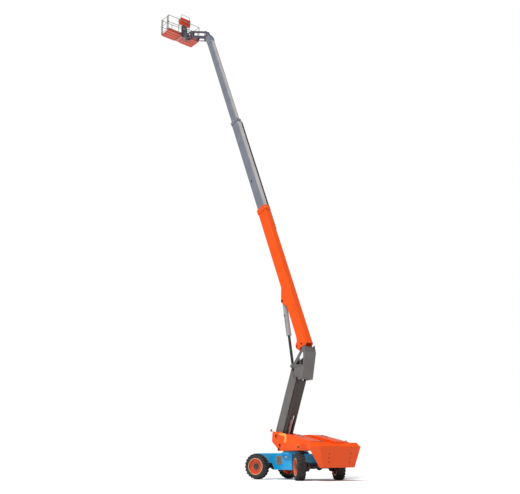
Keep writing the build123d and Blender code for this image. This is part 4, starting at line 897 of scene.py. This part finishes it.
class BOOMLIFT_OT_undercarriage(bpy.types.Operator):
    """Vent covers, blank plates, ring bolts, shackles and axle bolts"""

    bl_idname = "boomlift.undercarriage"
    bl_label = "Undercarriage"

    def execute(self, context):
        slew = PIVOTS["slew"]
        for hand, side in SIDES:
            self.vent(hand, side, slew.x + VENT[0], VENT[1])
            self.marker(hand, side, slew.x + MARKER[0], MARKER[1])
        self.ring_bolts(slew)
        self.shackles()
        for end in ("front", "rear"):
            self.axle(end)
        return {"FINISHED"}

    def vent(self, hand, side, x, z):
        """Pressed cover with a grid of slots over each vent."""
        y = on_side("chassis_frame", x - 0.24, z, hand).translation.y
        cover = block("vent", (VENT_SIZE, 0.006, VENT_SIZE), (x, y + hand * 0.012, z))
        dished(cover, (0, hand, 0), 0.035, (0, -hand * 0.004, 0))
        rounded(cover, 0.002)
        slat = block("vent", (0.28, 0.012, 0.012), (x, y + hand * 0.012, 0))
        choose(slat, "EDGE", lambda e: lengthwise(e) and middle(e).z > 0)
        bpy.ops.transform.translate(value=(0, hand * 0.003, 0.005))
        rounded(slat, 0.002, 1)
        slats = repeated(slat, "vent", [Matrix.Translation((0, 0, z + 0.03 * i)) for i in range(-4, 5)])
        post = block("vent", (0.01, 0.014, 0.28), (x, y + hand * 0.013, z))
        rounded(post, 0.002, 1)
        posts = repeated(post, "vent", [Matrix.Translation((0.093 * i, 0, 0)) for i in (-1, 0, 1)])
        wear(joined("vent_cover_" + side, [cover, slats, posts]), "chassis", "vent_tan")
        seats = [spot((x + dx, y + hand * 0.014, z + dz), ACROSS * hand)
                 for dx in (-0.168, 0.168) for dz in (-0.168, 0.168)]
        wear(repeated(bolt("bolt", 0.007), "vent_screws_" + side, seats), "chassis", "zinc")

    def marker(self, hand, side, x, z):
        """Small blank pale plate behind the vent."""
        outline = [(-0.07, -0.03), (0.07, -0.03), (0.07, 0.03), (-0.07, 0.03)]
        shape = plate("marker_" + side, outline, 0.003, 0.0008)
        wear(moved(shape, on_side("chassis_frame", x, z, hand)), "chassis", "plate_white")

    def ring_bolts(self, slew):
        """Bolts round the inside of the slew ring's race."""
        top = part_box("slew_ring")[1][2]
        place = Matrix.Translation((slew.x, slew.y, top))
        heads = repeated(bolt("bolt", 0.014), "ring_bolts", ringed(place, 0.5, 36))
        wear(heads, "chassis", "zinc")

    def shackles(self):
        """Bow shackle through each tie-down lug."""
        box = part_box("tie_down_lugs")
        for name, out, corner, z in TIE_DOWNS:
            x = box[corner][0] - out * TIE_DOWN_IN
            parts = []
            for y in (-TIE_DOWN_Y, TIE_DOWN_Y):
                left, right = y + 0.034, y - 0.034
                neck, head = x - out * 0.005, x - out * 0.015
                bow = pipe("shackle", ((x, right, z), (neck, right, z - 0.03), (head, right, z - 0.075),
                                       (head, left, z - 0.075), (neck, left, z - 0.03), (x, left, z)),
                           0.009, 0.022)
                parts += [bow, rounded(disc("shackle", 0.011, 0.1, (x, y, z), "Y", 20), 0.002)]
            wear(joined("shackles_" + name, parts), "chassis", "zinc")

    def axle(self, end):
        """Cover bolts on the differential bowl."""
        node = end + "_axle"
        low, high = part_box(node)
        outward = 1 if end == "front" else -1
        bowl = touch(node, ((low[0] + high[0]) / 2 + outward * BESIDE, 0.0, AXLE_Z), (-outward, 0, 0))
        heads = repeated(bolt("bolt", 0.009), "axle_bolts_" + end, ringed(bowl, 0.075, 8, height=-0.004))
        wear(heads, "chassis", "zinc")


# ---------------------------------------------------------------- turntable, hoods and counterweight


# Outline of the light orange plate on each cheek of the nose, a painted highlight for its lit strip: upper
# corners, then round the foot of the plate, from the riser's pivot
NOSE_HIGHLIGHT = ((-0.17, 0.115), (-0.62, 0.10), (-0.73, 0.06), (-0.76, -0.04), (-0.69, -0.3), (-0.6, -0.33),
         (-0.56, -0.27), (-0.6, -0.08), (-0.55, -0.02), (-0.3, 0.02), (-0.19, 0.06))
WEIGHT_BOLTS = ((0.64, 1.13), (0.625, 0.95), (0.61, 0.77))  # y and z of the bolts in the rear face
LATCH_UP = 0.075  # latch above the door's lower edge
LOUVRES = (-1.84, 1.43)  # middle of the vents in a door, from the slew axis
LOUVRE_PITCH = 0.034
SCREW_YS = (0.395, 1.05)
SEAM_YS = (0.43, 1.02)
HANDLE_Y = 0.74
HANDLE_L = 0.34
GROUND_CONTROLS = (-0.72, 1.62)


class BOOMLIFT_OT_turntable(bpy.types.Operator):
    """Nose plates in painted highlight, pins, weight bolts, latches, louvre lips, hood fittings, controls
    and service parts
    """

    bl_idname = "boomlift.turntable"
    bl_label = "Turntable"

    def execute(self, context):
        self.nose()
        self.counterweight()
        for hand, side in SIDES:
            self.door(hand, side)
            self.hood(hand, side)
        self.ground_controls()
        self.beacon()
        self.engine()
        self.tank()
        return {"FINISHED"}

    def nose(self):
        """Pins with bolted ends, and on each cheek a thin light orange plate, a painted highlight for the
        nose's lit strip.
        """
        pivots = [PIVOTS[name] for name in ("riser_fold", "rear_link_fold", "riser_barrel_swing")]
        caps = pin_caps("turntable_frame", pivots, 0.06, 0.012, 2)
        wear(joined("nose_pins", caps), "turntable", "pin_dark")
        x, z = PIVOTS["riser_fold"].x, PIVOTS["riser_fold"].z
        thickness = 0.008
        for hand, side in SIDES:
            y = on_side("turntable_frame", x - 0.4, z, hand).translation.y
            # painted highlight: a thin light orange plate where the nose's strip catches the light
            shape = plate("nose_highlight_" + side, NOSE_HIGHLIGHT, thickness, 0.003)
            foot = Matrix.Translation((x, y if hand < 0 else y + thickness, z))
            wear(moved(shape, foot @ Matrix.Rotation(math.pi / 2, 4, "X")), "turntable", "lit_orange")

    def counterweight(self):
        """Bolts in the rear recesses, and two lifting eyes."""
        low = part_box("counterweight")[0]
        seats = [touch("counterweight", (low[0] - 1, hand * y, z), (1, 0, 0))
                 for y, z in WEIGHT_BOLTS for hand in HANDS]
        wear(repeated(bolt("bolt", 0.019), "counterweight_bolts", seats), "turntable", "pin_dark")
        eyes = []
        for hand in HANDS:
            eye = revolved("eye", [(0.03, -0.011), (0.036, -0.014), (0.048, -0.009), (0.048, 0.009),
                                   (0.036, 0.014), (0.03, 0.011)], 32)
            moved(eye, Matrix.Translation((0, 0, 0.048)) @ Matrix.Rotation(math.pi / 2, 4, "X"))
            base = revolved("eye", [(0, 0), (0.036, 0), (0.034, 0.012), (0.02, 0.02), (0, 0.02)], 24)
            seat = on_top("counterweight", low[0] + 0.42, hand * 0.75)
            eyes.append(moved(joined("eye", [eye, base]), seat))
        wear(joined("lifting_eyes", eyes), "turntable", "zinc")

    def door(self, hand, side):
        """Paddle latch and louvre lips on each door."""
        node = "door_" + side
        low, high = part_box(node)
        x, z = (low[0] + high[0]) / 2, low[2] + LATCH_UP
        y = on_side(node, x, z, hand).translation.y
        body = side + "_door"
        dish = block("latch", (0.125, 0.004, 0.062), (x, y + hand * 0.002, z))
        dished(dish, (0, hand, 0), 0.008, (0, -hand * 0.003, 0))
        rounded(dish, 0.001)
        paddle = block("latch", (0.085, 0.005, 0.03), (x - 0.005, y + hand * 0.0045, z))
        tapered(paddle, (-1, 0, 0), (1, 0.6, 0.8))
        rounded(paddle, 0.0018)
        key = revolved("latch", [(0, 0), (0.007, 0), (0.007, 0.004), (0.0055, 0.005), (0, 0.005)], 20)
        moved(key, spot((x + 0.048, y + hand * 0.002, z), ACROSS * hand))
        wear(joined("latch_" + side, [dish, paddle, key]), body, "black_plastic")
        lips = []
        for step in range(6):
            height = LOUVRES[1] + LOUVRE_PITCH * (step - 2.5) + 0.01
            lip_x = PIVOTS["slew"].x + LOUVRES[0]
            lip = block("lip", (0.4, 0.006, 0.007), (lip_x, y + hand * 0.006, height))
            choose(lip, "FACE", facing((0, hand, 0)))
            bpy.ops.transform.translate(value=(0, 0, -0.005))
            lips.append(rounded(lip, 0.0015, 1))
        wear(joined("louvre_lips_" + side, lips), body, "body_orange")

    def hood(self, hand, side):
        """Screws, two seams and a hand rail on the roof of each hood."""
        node = "hood_" + side
        low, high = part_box(node)
        x = high[0] - 0.66
        screws = [on_top(node, x - step * 0.24, hand * y) for step in range(7) for y in SCREW_YS]
        wear(repeated(bolt("bolt", 0.008), "hood_screws_" + side, screws), "turntable", "zinc")
        seam = []
        for y in SEAM_YS:
            start = on_top(node, x + 0.08, hand * y).translation
            end = on_top(node, low[0] + 0.06, hand * y).translation
            strip = block("seam", ((end - start).length, 0.012, 0.003))
            tapered(strip, (0, 0, 1), (1, 0.6, 1))
            rounded(strip, 0.0008, 1)
            seam.append(moved(strip, member((start + end) / 2, start - end)))
        wear(joined("hood_seams_" + side, seam), "turntable", "body_orange")
        handle_x = high[0] - 0.9
        ends = [on_top(node, x, hand * HANDLE_Y).translation for x in (handle_x, handle_x - HANDLE_L)]
        lift = Vector((0, 0, 0.055))
        rail = pipe("handle", (ends[0], ends[0] + lift, ends[1] + lift, ends[1]), 0.009, 0.025)
        feet = [moved(revolved("foot", [(0, 0), (0.022, 0), (0.02, 0.006), (0.011, 0.009), (0, 0.009)], 20),
                      touch(node, p + Vector((0, 0, 1)), (0, 0, -1))) for p in ends]
        wear(joined("hood_rail_" + side, [rail] + feet), "turntable", "black_plastic")

    def ground_controls(self):
        """Box with an emergency stop and two rows of switches on the right hood's front face."""
        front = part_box("hood_right")[1][0] + 1
        y, z = GROUND_CONTROLS
        depth = 0.07
        seat = touch("hood_right", (front, y, z), (-1, 0, 0)).translation
        case = block("ground_controls", (depth, 0.34, 0.22), (seat.x - 0.034 + depth, y, z))
        dished(case, (1, 0, 0), 0.02, (-0.012, 0, 0))
        rounded(case, 0.006, 3)
        wear(case, "turntable", "black_plastic")
        face = touch(case, (front, y, z), (-1, 0, 0))
        stop = revolved("stop", [(0, 0), (0.017, 0), (0.017, 0.012), (0.022, 0.016), (0.021, 0.024),
                                 (0.012, 0.028), (0, 0.028)], 32)
        wear(moved(stop, Matrix.Translation((0, 0.1, 0.05)) @ face), "turntable", "button_red")
        model = revolved("switch", [(0, 0), (0.011, 0), (0.011, 0.004), (0.005, 0.006), (0.0035, 0.02),
                                    (0.005, 0.028), (0, 0.03)], 16)
        seats = [Matrix.Translation((0, 0.045 - step * 0.045, 0.04 - row * 0.07)) @ face
                 for row in range(2) for step in range(4)]
        wear(repeated(model, "switches", seats), "turntable", "zinc")

    def beacon(self):
        """Black base with grip ribs under the amber lens."""
        low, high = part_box("beacon")
        x, y = high[0] - 0.05, (low[1] + high[1]) / 2
        base = revolved("base", [(0, 0), (0.05, 0), (0.05, 0.006), (0.047, 0.012), (0.047, 0.03),
                                 (0.0495, 0.036), (0.045, 0.04), (0, 0.04)], 40)
        ribs = block("base", (0.006, 0.003, 0.026), (0.0478, 0, 0.02))
        rounded(ribs, 0.001, 1)
        grips = repeated(ribs, "base", [Matrix.Rotation(2 * math.pi * i / 20, 4, "Z") for i in range(20)])
        base = joined("beacon_base", [base, grips])
        moved(base, Matrix.Translation((x, y, high[2] - 0.11)))
        wear(base, "turntable", "black_plastic")

    def engine(self):
        """Ribbed cover and oil filter on the side of the engine that the left door uncovers."""
        low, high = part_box("engine_block")
        x, z = (low[0] + high[0]) / 2, (low[2] + high[2]) / 2
        outer = high[1]
        parts = []
        case = block("engine", (0.5, 0.06, 0.2), (x + 0.05, outer + 0.02, z))
        dished(case, (0, 1, 0), 0.03, (0, 0.02, 0))
        parts.append(rounded(case, 0.006))
        rib = block("engine", (0.012, 0.03, 0.16), (0, outer + 0.055, z))
        rounded(rib, 0.003, 1)
        places = [Matrix.Translation((x - 0.15 + 0.08 * i, 0, 0)) for i in range(6)]
        parts.append(repeated(rib, "engine", places))
        wear(joined("engine_cover", parts), "turntable", "engine_dark")
        canister = revolved("oil_filter", [(0, 0), (0.045, 0), (0.045, 0.11), (0.04, 0.12),
                                           (0.04, 0.128), (0, 0.13)], 32)
        moved(canister, spot((x - 0.28, outer + 0.002, z - 0.06), ACROSS))
        wear(canister, "turntable", "plate_white")

    def tank(self):
        """Cap and level tube on the tank behind the right door."""
        low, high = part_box("fluid_tank")
        outer = low[1]
        x = (low[0] + high[0]) / 2
        cap = revolved("tank_cap", [(0, 0), (0.04, 0), (0.04, 0.012), (0.034, 0.026),
                                    (0.012, 0.03), (0, 0.03)], 32)
        wear(moved(cap, on_top("fluid_tank", x + 0.2, (low[1] + high[1]) / 2)), "turntable", "black_plastic")
        tube_x, proud = x - 0.2, outer - 0.015
        tube = pipe("tank_level", ((tube_x, outer, 1.36), (tube_x, proud, 1.36),
                                   (tube_x, proud, 1.52), (tube_x, outer, 1.52)), 0.007, 0.008)
        wear(tube, "turntable", "plate_white")


# ---------------------------------------------------------------- riser, upright and boom


def leaning(joint, slide):
    """Frame of a member that starts at a hinge and runs along a slide's axis."""
    return member(PIVOTS[joint], AXES[slide])


# Cylinder, its lower pivot, its slide, way from butt to mouth, and valve from the butt in radii
CYLINDERS = (
    ("riser", "riser_barrel_swing", "riser_rod_slide", 1, 1.9),
    ("lift", "lift_rod_swing", "lift_barrel_slide", -1, 6.5),
    ("jib", "jib_barrel_swing", "jib_rod_slide", 1, 1.9),
)


class BOOMLIFT_OT_riser(bpy.types.Operator):
    """Pin ends of the upright, weld beads of the riser, and the fittings of the three cylinders"""

    bl_idname = "boomlift.riser"
    bl_label = "Riser"

    def execute(self, context):
        head = PIVOTS["upright_level"]
        rear = PIVOTS["rear_link_fold"] + head - PIVOTS["riser_fold"]
        caps = pin_caps("upright", [head], 0.075, 0.016) + pin_caps("upright", [rear], 0.07, 0.016)
        wear(joined("upright_pins", caps), "upright", "pin_dark")
        for name, foot, slide, way, start in CYLINDERS:
            place = member(PIVOTS[foot], AXES[slide])
            self.barrel(name + "_cylinder_barrel", place, name + "_barrel", way, start)
        self.weld_beads(head)
        return {"FINISHED"}

    def barrel(self, node, place, body, way, start):
        """Gland nut, valve block, and a rigid pipe clamped along a cylinder's barrel."""
        low, high = extent(node, place)
        radius = high[1]
        mouth, butt = (high[0], low[0]) if way > 0 else (low[0], high[0])
        nut = revolved(node, [(radius * 0.8, 0.004), (radius * 0.94, 0.004), (radius * 0.98, 0.01),
                              (radius * 0.98, radius * 0.3), (radius * 0.94, radius * 0.34),
                              (radius * 0.8, radius * 0.34)], 48)
        turn = place @ Matrix.Translation((mouth - way * radius * 0.36, 0, 0)) @ Matrix.Rotation(
            way * math.pi / 2, 4, "Y")
        wear(moved(nut, turn), body, "zinc")
        nut.name = body + "_gland"
        far = butt + way * radius * start
        near = mouth - way * radius * 1.2
        side_y = radius * 0.72
        valve = block("valve", (radius * 0.7, radius * 0.5, radius * 0.6), (far, side_y + radius * 0.2, 0))
        rounded(valve, radius * 0.05)
        plug = revolved("valve", [(0, 0), (radius * 0.16, 0), (radius * 0.16, radius * 0.1),
                                  (radius * 0.1, radius * 0.14), (0, radius * 0.14)], 6)
        moved(plug, spot((far, side_y + radius * 0.44, 0), ACROSS))
        run = pipe("pipe", ((far + way * radius * 0.3, side_y + radius * 0.25, 0),
                            (near - way * radius * 0.1, side_y + radius * 0.42, 0),
                            (near, side_y + radius * 0.42, 0), (near, side_y * 0.9, 0)),
                   max(0.006, radius * 0.07), radius * 0.16)
        parts = [valve, plug, run]
        for share in (0.3, 0.7):
            x = far + (near - far) * share
            size = (radius * 0.22, radius * 0.36, radius * 0.3)
            clip = block("clip", size, (x, side_y + radius * 0.32, 0))
            tapered(clip, (0, 1, 0), (1, 1, 0.7))
            parts.append(rounded(clip, radius * 0.03))
        fittings = joined(body + "_fittings", parts)
        wear(moved(fittings, place), body, "zinc")

    def weld_beads(self, head):
        """Weld beads where the riser's lug plates meet the front link."""
        place = member(PIVOTS["riser_fold"], head - PIVOTS["riser_fold"])
        beads = []
        for hand in HANDS:
            for offset in (-0.014, 0.014):
                bead = block("bead", (0.3, 0.008, 0.008))
                choose(bead, "EDGE", lengthwise)
                bpy.ops.mesh.bevel(offset=0.003, segments=2)
                take(bead)
                beads.append(moved(bead, place @ Matrix.Translation((1.9, hand * (0.0723 + offset), 0.252))))
        wear(joined("lug_welds", beads), "front_link", "riser_grey")


BOOM_MIDDLE = 0.134  # middle of the sections above the line of the boom's pivot
# Section, length of its head collar, half its width, and half its depth where the collar is deeper
COLLARS = (("boom_base", 0.26, 0.185, 0.32), ("boom_mid", 0.19, 0.16, None))
# Section, gap left at its head, and width of the pale plate on its back that paints its highlight
LIT_BACKS = (("boom_mid", 0.25, 0.25), ("boom_tip", 0.75, 0.2))
STRIP_L = 7.0
STRIP_S = 17.6  # middle of the tip's strip, along the boom


class BOOMLIFT_OT_boom(bpy.types.Operator):
    """Boom foot pins, slide pads with their screws, pale back plates in painted highlight and the tip's edge
    strip
    """

    bl_idname = "boomlift.boom"
    bl_label = "Boom"

    def execute(self, context):
        place = leaning("boom_lift", "boom_extend")
        self.foot(place)
        for node, collar, half, depth in COLLARS:
            self.pads(node, place, collar, half, depth)
        self.painted_highlights(place)
        self.tip(place)
        return {"FINISHED"}

    def back_height(self, node, place, s):
        """Height of a section's back in the boom's frame, at a distance along it."""
        down = place.to_3x3() @ Vector((0, 0, -1))
        return (place.inverted() @ touch(node, place @ Vector((s, 0, 2)), down).translation).z

    def foot(self, place):
        """Dark pins through the boom's foot, and the lift cylinder's pin."""
        for hand, side in SIDES:
            pivot = place.translation
            cap = moved(pin_cap(0.085, 0.014, 3), on_side("upright", pivot.x, pivot.z, hand))
            cap.name = "boom_pivot_cap_" + side
            wear(cap, "upright", "pin_dark")
        caps = []
        for s, n, size in ((0.246, 0.079, 0.045), (0.28, -0.25, 0.042)):
            caps += pin_caps("boom_base", [place @ Vector((s, 0, n))], size, 0.014)
        eye, slide = PIVOTS["lift_rod_swing"], AXES["lift_barrel_slide"]
        high = extent("lift_cylinder_barrel", member(eye, slide))[1]
        caps += pin_caps("boom_base", [eye + slide * (high[0] - 0.092)], 0.062, 0.014)
        wear(joined("boom_pins", caps), "boom_base", "pin_dark")

    def pads(self, node, place, collar, half, depth):
        """Screws round a section's head collar, and the ends of the slide pads that they hold."""
        high = extent(node, place)[1]
        depth = depth or high[2] - BOOM_MIDDLE
        seats = []
        for share in (0.3, 0.7):
            s = high[0] - collar * share
            for hand in HANDS:
                for n in (-0.6, -0.2, 0.2, 0.6):
                    start = place @ Vector((s, hand * 2, BOOM_MIDDLE + n * depth))
                    seats.append(touch(node, start, (0, -hand, 0)))
            for way in HANDS:
                for y in (-0.6, 0.0, 0.6):
                    start = place @ Vector((s, y * half, BOOM_MIDDLE + way * 2))
                    seats.append(touch(node, start, place.to_3x3() @ Vector((0, 0, -way))))
        wear(repeated(bolt("bolt", 0.012), node + "_pad_screws", seats), node, "zinc")
        x = high[0] + 0.004
        strips = [((0.014, 0.02, depth * 1.5), (x, hand * (half - 0.02), BOOM_MIDDLE)) for hand in HANDS]
        strips += [((0.014, half * 1.5, 0.02), (x, 0, BOOM_MIDDLE + way * (depth - 0.03))) for way in HANDS]
        ends = [rounded(block("pad", size, at), 0.003) for size, at in strips]
        wear(moved(joined(node + "_pads", ends), place), node, "pad_white")

    def painted_highlights(self, place):
        """Painted highlight: a thin pale plate along the back of each of the two inner sections, in the
        colour of their lit backs.
        """
        for node, gap, width in LIT_BACKS:
            low, high = extent(node, place)
            start, end = low[0] + 0.3, high[0] - gap
            centre = (start + end) / 2
            surface = self.back_height(node, place, centre)
            # painted highlight: a pale plate on the back face, where the light falls
            face = block(node + "_back", (end - start, width, 0.002), (centre, 0, surface + 0.001))
            dished(face, (0, 0, 1), 0.008, (0, 0, 0.0006))
            take(face)
            wear(moved(face, place), node, "painted_highlight_pale")

    def tip(self, place):
        """Reddish strip along the right edge of the tip section's back, and caps on the jib's main pin."""
        surface = self.back_height("boom_tip", place, 18)
        strip = block("tip_strip", (STRIP_L, 0.03, 0.004), (STRIP_S, -0.112, surface + 0.002))
        choose(strip, "EDGE", lambda e: lengthwise(e, 1))
        bpy.ops.mesh.bevel(offset=0.001, segments=2)
        take(strip)
        wear(moved(strip, place), "boom_tip", "strip_brown")
        caps = pin_caps("boom_tip", [PIVOTS["jib_base_level"]], 0.05, 0.01)
        wear(joined("tip_pin_caps", caps), "boom_tip", "pin_dark")


# ---------------------------------------------------------------- jib and platform


class BOOMLIFT_OT_jib(bpy.types.Operator):
    """Pin ends and rotator bolts"""

    bl_idname = "boomlift.jib"
    bl_label = "Jib"

    def execute(self, context):
        for node, joints in (("jib_base", ("jib_lift", "jib_upper_swing", "jib_barrel_swing")),
                             ("jib_head", ("jib_head_level",))):
            caps = pin_caps(node, [PIVOTS[joint] for joint in joints], 0.036, 0.006)
            wear(joined(node + "_pin_caps", caps), node, "zinc")
        pivot = PIVOTS["platform_rotate"]
        flange = Matrix.Translation((pivot.x, pivot.y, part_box("jib_head")[1][2] - 0.05))
        turned = Matrix.Rotation(math.pi, 4, "X")
        seats = [seat @ turned for seat in ringed(flange, 0.108, 16)]
        wear(repeated(bolt("bolt", 0.009), "rotator_bolts", seats), "jib_head", "zinc")
        return {"FINISHED"}


DECK_UP = 0.04  # floor sheet above the gate's lower hinge
POST_YS = (-1.2055, -0.4055, 0.4055, 1.2055)
RAIL_R = 0.019
CLAMP_UP = 0.62


class BOOMLIFT_OT_platform(bpy.types.Operator):
    """Floor treads, rail clamps, gate latch, console controls and foot switch"""

    bl_idname = "boomlift.platform"
    bl_label = "Platform"

    def execute(self, context):
        self.treads()
        self.clamps()
        self.console()
        self.foot_switch()
        self.gate()
        return {"FINISHED"}

    def treads(self):
        """Raised grip bars across the floor."""
        low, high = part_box("platform_floor")
        top = PIVOTS["gate_swing"].z + DECK_UP
        bar = block("tread", (0.012, high[1] * 2 - 0.16, 0.004), (0, 0, top + 0.002))
        tapered(bar, (0, 0, 1), (0.6, 1, 1))
        rounded(bar, 0.0008, 1)
        places = [Matrix.Translation((low[0] + 0.08 + 0.045 * i, 0, 0)) for i in range(17)]
        wear(repeated(bar, "floor_treads", places), "rotator", "basket_red")

    def clamps(self):
        """Clamp blocks where the rails cross the posts."""
        xs = (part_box("platform_floor")[0][0] + 0.003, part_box("platform_rails")[1][0] - RAIL_R)
        model = block("clamp", (0.037, 0.05, 0.07))
        dished(model, (0, 0, 1), 0.006, (0, 0, -0.003))
        rounded(model, 0.005)
        height = PIVOTS["gate_swing"].z + CLAMP_UP
        places = [Matrix.Translation((x, y, height)) for x in xs for y in POST_YS]
        wear(repeated(model, "rail_clamps", places), "rotator", "rail_dark")

    def console(self):
        """Two joysticks, an emergency stop and two rows of toggles on a panel."""
        low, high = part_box("control_console")
        start = (low[0] + 0.17, (low[1] + high[1]) / 2, high[2] + 1)
        face = touch("control_console", start, (0, 0, -1))
        up = face.to_3x3().col[2]
        place = Matrix.Translation(face.translation) @ Matrix(
            (ACROSS, up.cross(ACROSS) * -1, up)).transposed().to_4x4()
        stick = revolved("stick", [(0, 0), (0.036, 0), (0.036, 0.006), (0.03, 0.012), (0.024, 0.02),
                                   (0.018, 0.03), (0.0075, 0.036), (0.0075, 0.07), (0.014, 0.08),
                                   (0.017, 0.1), (0.015, 0.125), (0.008, 0.135), (0, 0.136)], 32)
        seats = [place @ Matrix.Translation((y, 0.02, 0)) for y in (-0.24, 0.24)]
        wear(repeated(stick, "joysticks", seats), "rotator", "black_plastic")
        stop = revolved("platform_stop", [(0, 0), (0.02, 0), (0.02, 0.014), (0.027, 0.018), (0.026, 0.028),
                                          (0.015, 0.032), (0, 0.032)], 32)
        wear(moved(stop, place @ Matrix.Translation((0.0, 0.05, 0))), "rotator", "button_red")
        toggle = revolved("toggle", [(0, 0), (0.009, 0), (0.009, 0.003), (0.004, 0.005), (0.003, 0.018),
                                     (0.0045, 0.025), (0, 0.027)], 12)
        seats = [place @ Matrix.Translation(((step - 3) * 0.045, -0.03 - 0.035 * row, 0))
                 for row in range(2) for step in range(7)]
        wear(repeated(toggle, "toggles", seats), "rotator", "zinc")
        panel = block("console_panel", (0.64, 0.17, 0.003), (0, 0.0, 0.0005))
        dished(panel, (0, 0, 1), 0.008, (0, 0, -0.001))
        rounded(panel, 0.0008, 1)
        wear(moved(panel, place), "rotator", "black_plastic")

    def foot_switch(self):
        """Foot switch under its guard, on the floor in front of the console."""
        floor_z = PIVOTS["gate_swing"].z + DECK_UP + 0.004
        low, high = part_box("control_console")
        x, y = high[0] + 0.05, (low[1] + high[1]) / 2
        guard = block("foot_switch", (0.2, 0.13, 0.11), (x, y, floor_z + 0.055))
        dished(guard, (1, 0, 0), 0.012, (-0.13, 0, 0))
        choose(guard, "VERT", lambda v: v.co.z > floor_z + 0.09 and v.co.x < x - 0.05)
        bpy.ops.transform.translate(value=(0.03, 0, -0.02))
        rounded(guard, 0.004)
        wear(guard, "rotator", "black_plastic")
        pedal = block("pedal", (0.11, 0.09, 0.01), (x + 0.01, y, floor_z + 0.035))
        choose(pedal, "EDGE", lambda e: middle(e).x > x + 0.06)
        bpy.ops.transform.translate(value=(0, 0, -0.012))
        rounded(pedal, 0.002)
        wear(pedal, "rotator", "button_red")

    def gate(self):
        """Latch housing on the gate's free post."""
        low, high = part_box("platform_gate")
        at = (high[0] - 0.018, (low[1] + high[1]) / 2, high[2] - 0.12)
        post = block("gate_latch", (0.03, 0.04, 0.09), at)
        dished(post, (0, 1, 0), 0.005, (0, -0.003, 0))
        rounded(post, 0.003)
        wear(post, "gate", "rail_dark")


# ---------------------------------------------------------------- panel


STEPS = ("finishes", "shells", "wheels", "undercarriage", "turntable", "riser", "boom", "jib", "platform",
         "stage")


class BOOMLIFT_PT_panel(bpy.types.Panel):
    """Lists the steps in the order in which they are run"""

    bl_idname = "BOOMLIFT_PT_panel"
    bl_label = "Boom Lift"
    bl_space_type = "VIEW_3D"
    bl_region_type = "UI"
    bl_category = "Boom Lift"

    def draw(self, context):
        for step in STEPS:
            self.layout.operator("boomlift." + step)
        for group in (context.scene.boomlift_colours, context.scene.boomlift_stage):
            column = self.layout.column()
            for name in group.__annotations__:
                column.prop(group, name)


CLASSES = (
    BOOMLIFT_PG_colours,
    BOOMLIFT_PG_stage,
    BOOMLIFT_OT_finishes,
    BOOMLIFT_OT_shells,
    BOOMLIFT_OT_wheels,
    BOOMLIFT_OT_undercarriage,
    BOOMLIFT_OT_turntable,
    BOOMLIFT_OT_riser,
    BOOMLIFT_OT_boom,
    BOOMLIFT_OT_jib,
    BOOMLIFT_OT_platform,
    BOOMLIFT_OT_stage,
    BOOMLIFT_PT_panel,
)


def register():
    for kind in CLASSES:
        bpy.utils.register_class(kind)
    bpy.types.Scene.boomlift_colours = bpy.props.PointerProperty(type=BOOMLIFT_PG_colours)
    bpy.types.Scene.boomlift_stage = bpy.props.PointerProperty(type=BOOMLIFT_PG_stage)


def unregister():
    del bpy.types.Scene.boomlift_stage
    del bpy.types.Scene.boomlift_colours
    for kind in reversed(CLASSES):
        bpy.utils.unregister_class(kind)


def main():
    """Run every step in order."""
    register()
    for step in STEPS:
        getattr(bpy.ops.boomlift, step)()


if __name__ == "__main__":
    main()
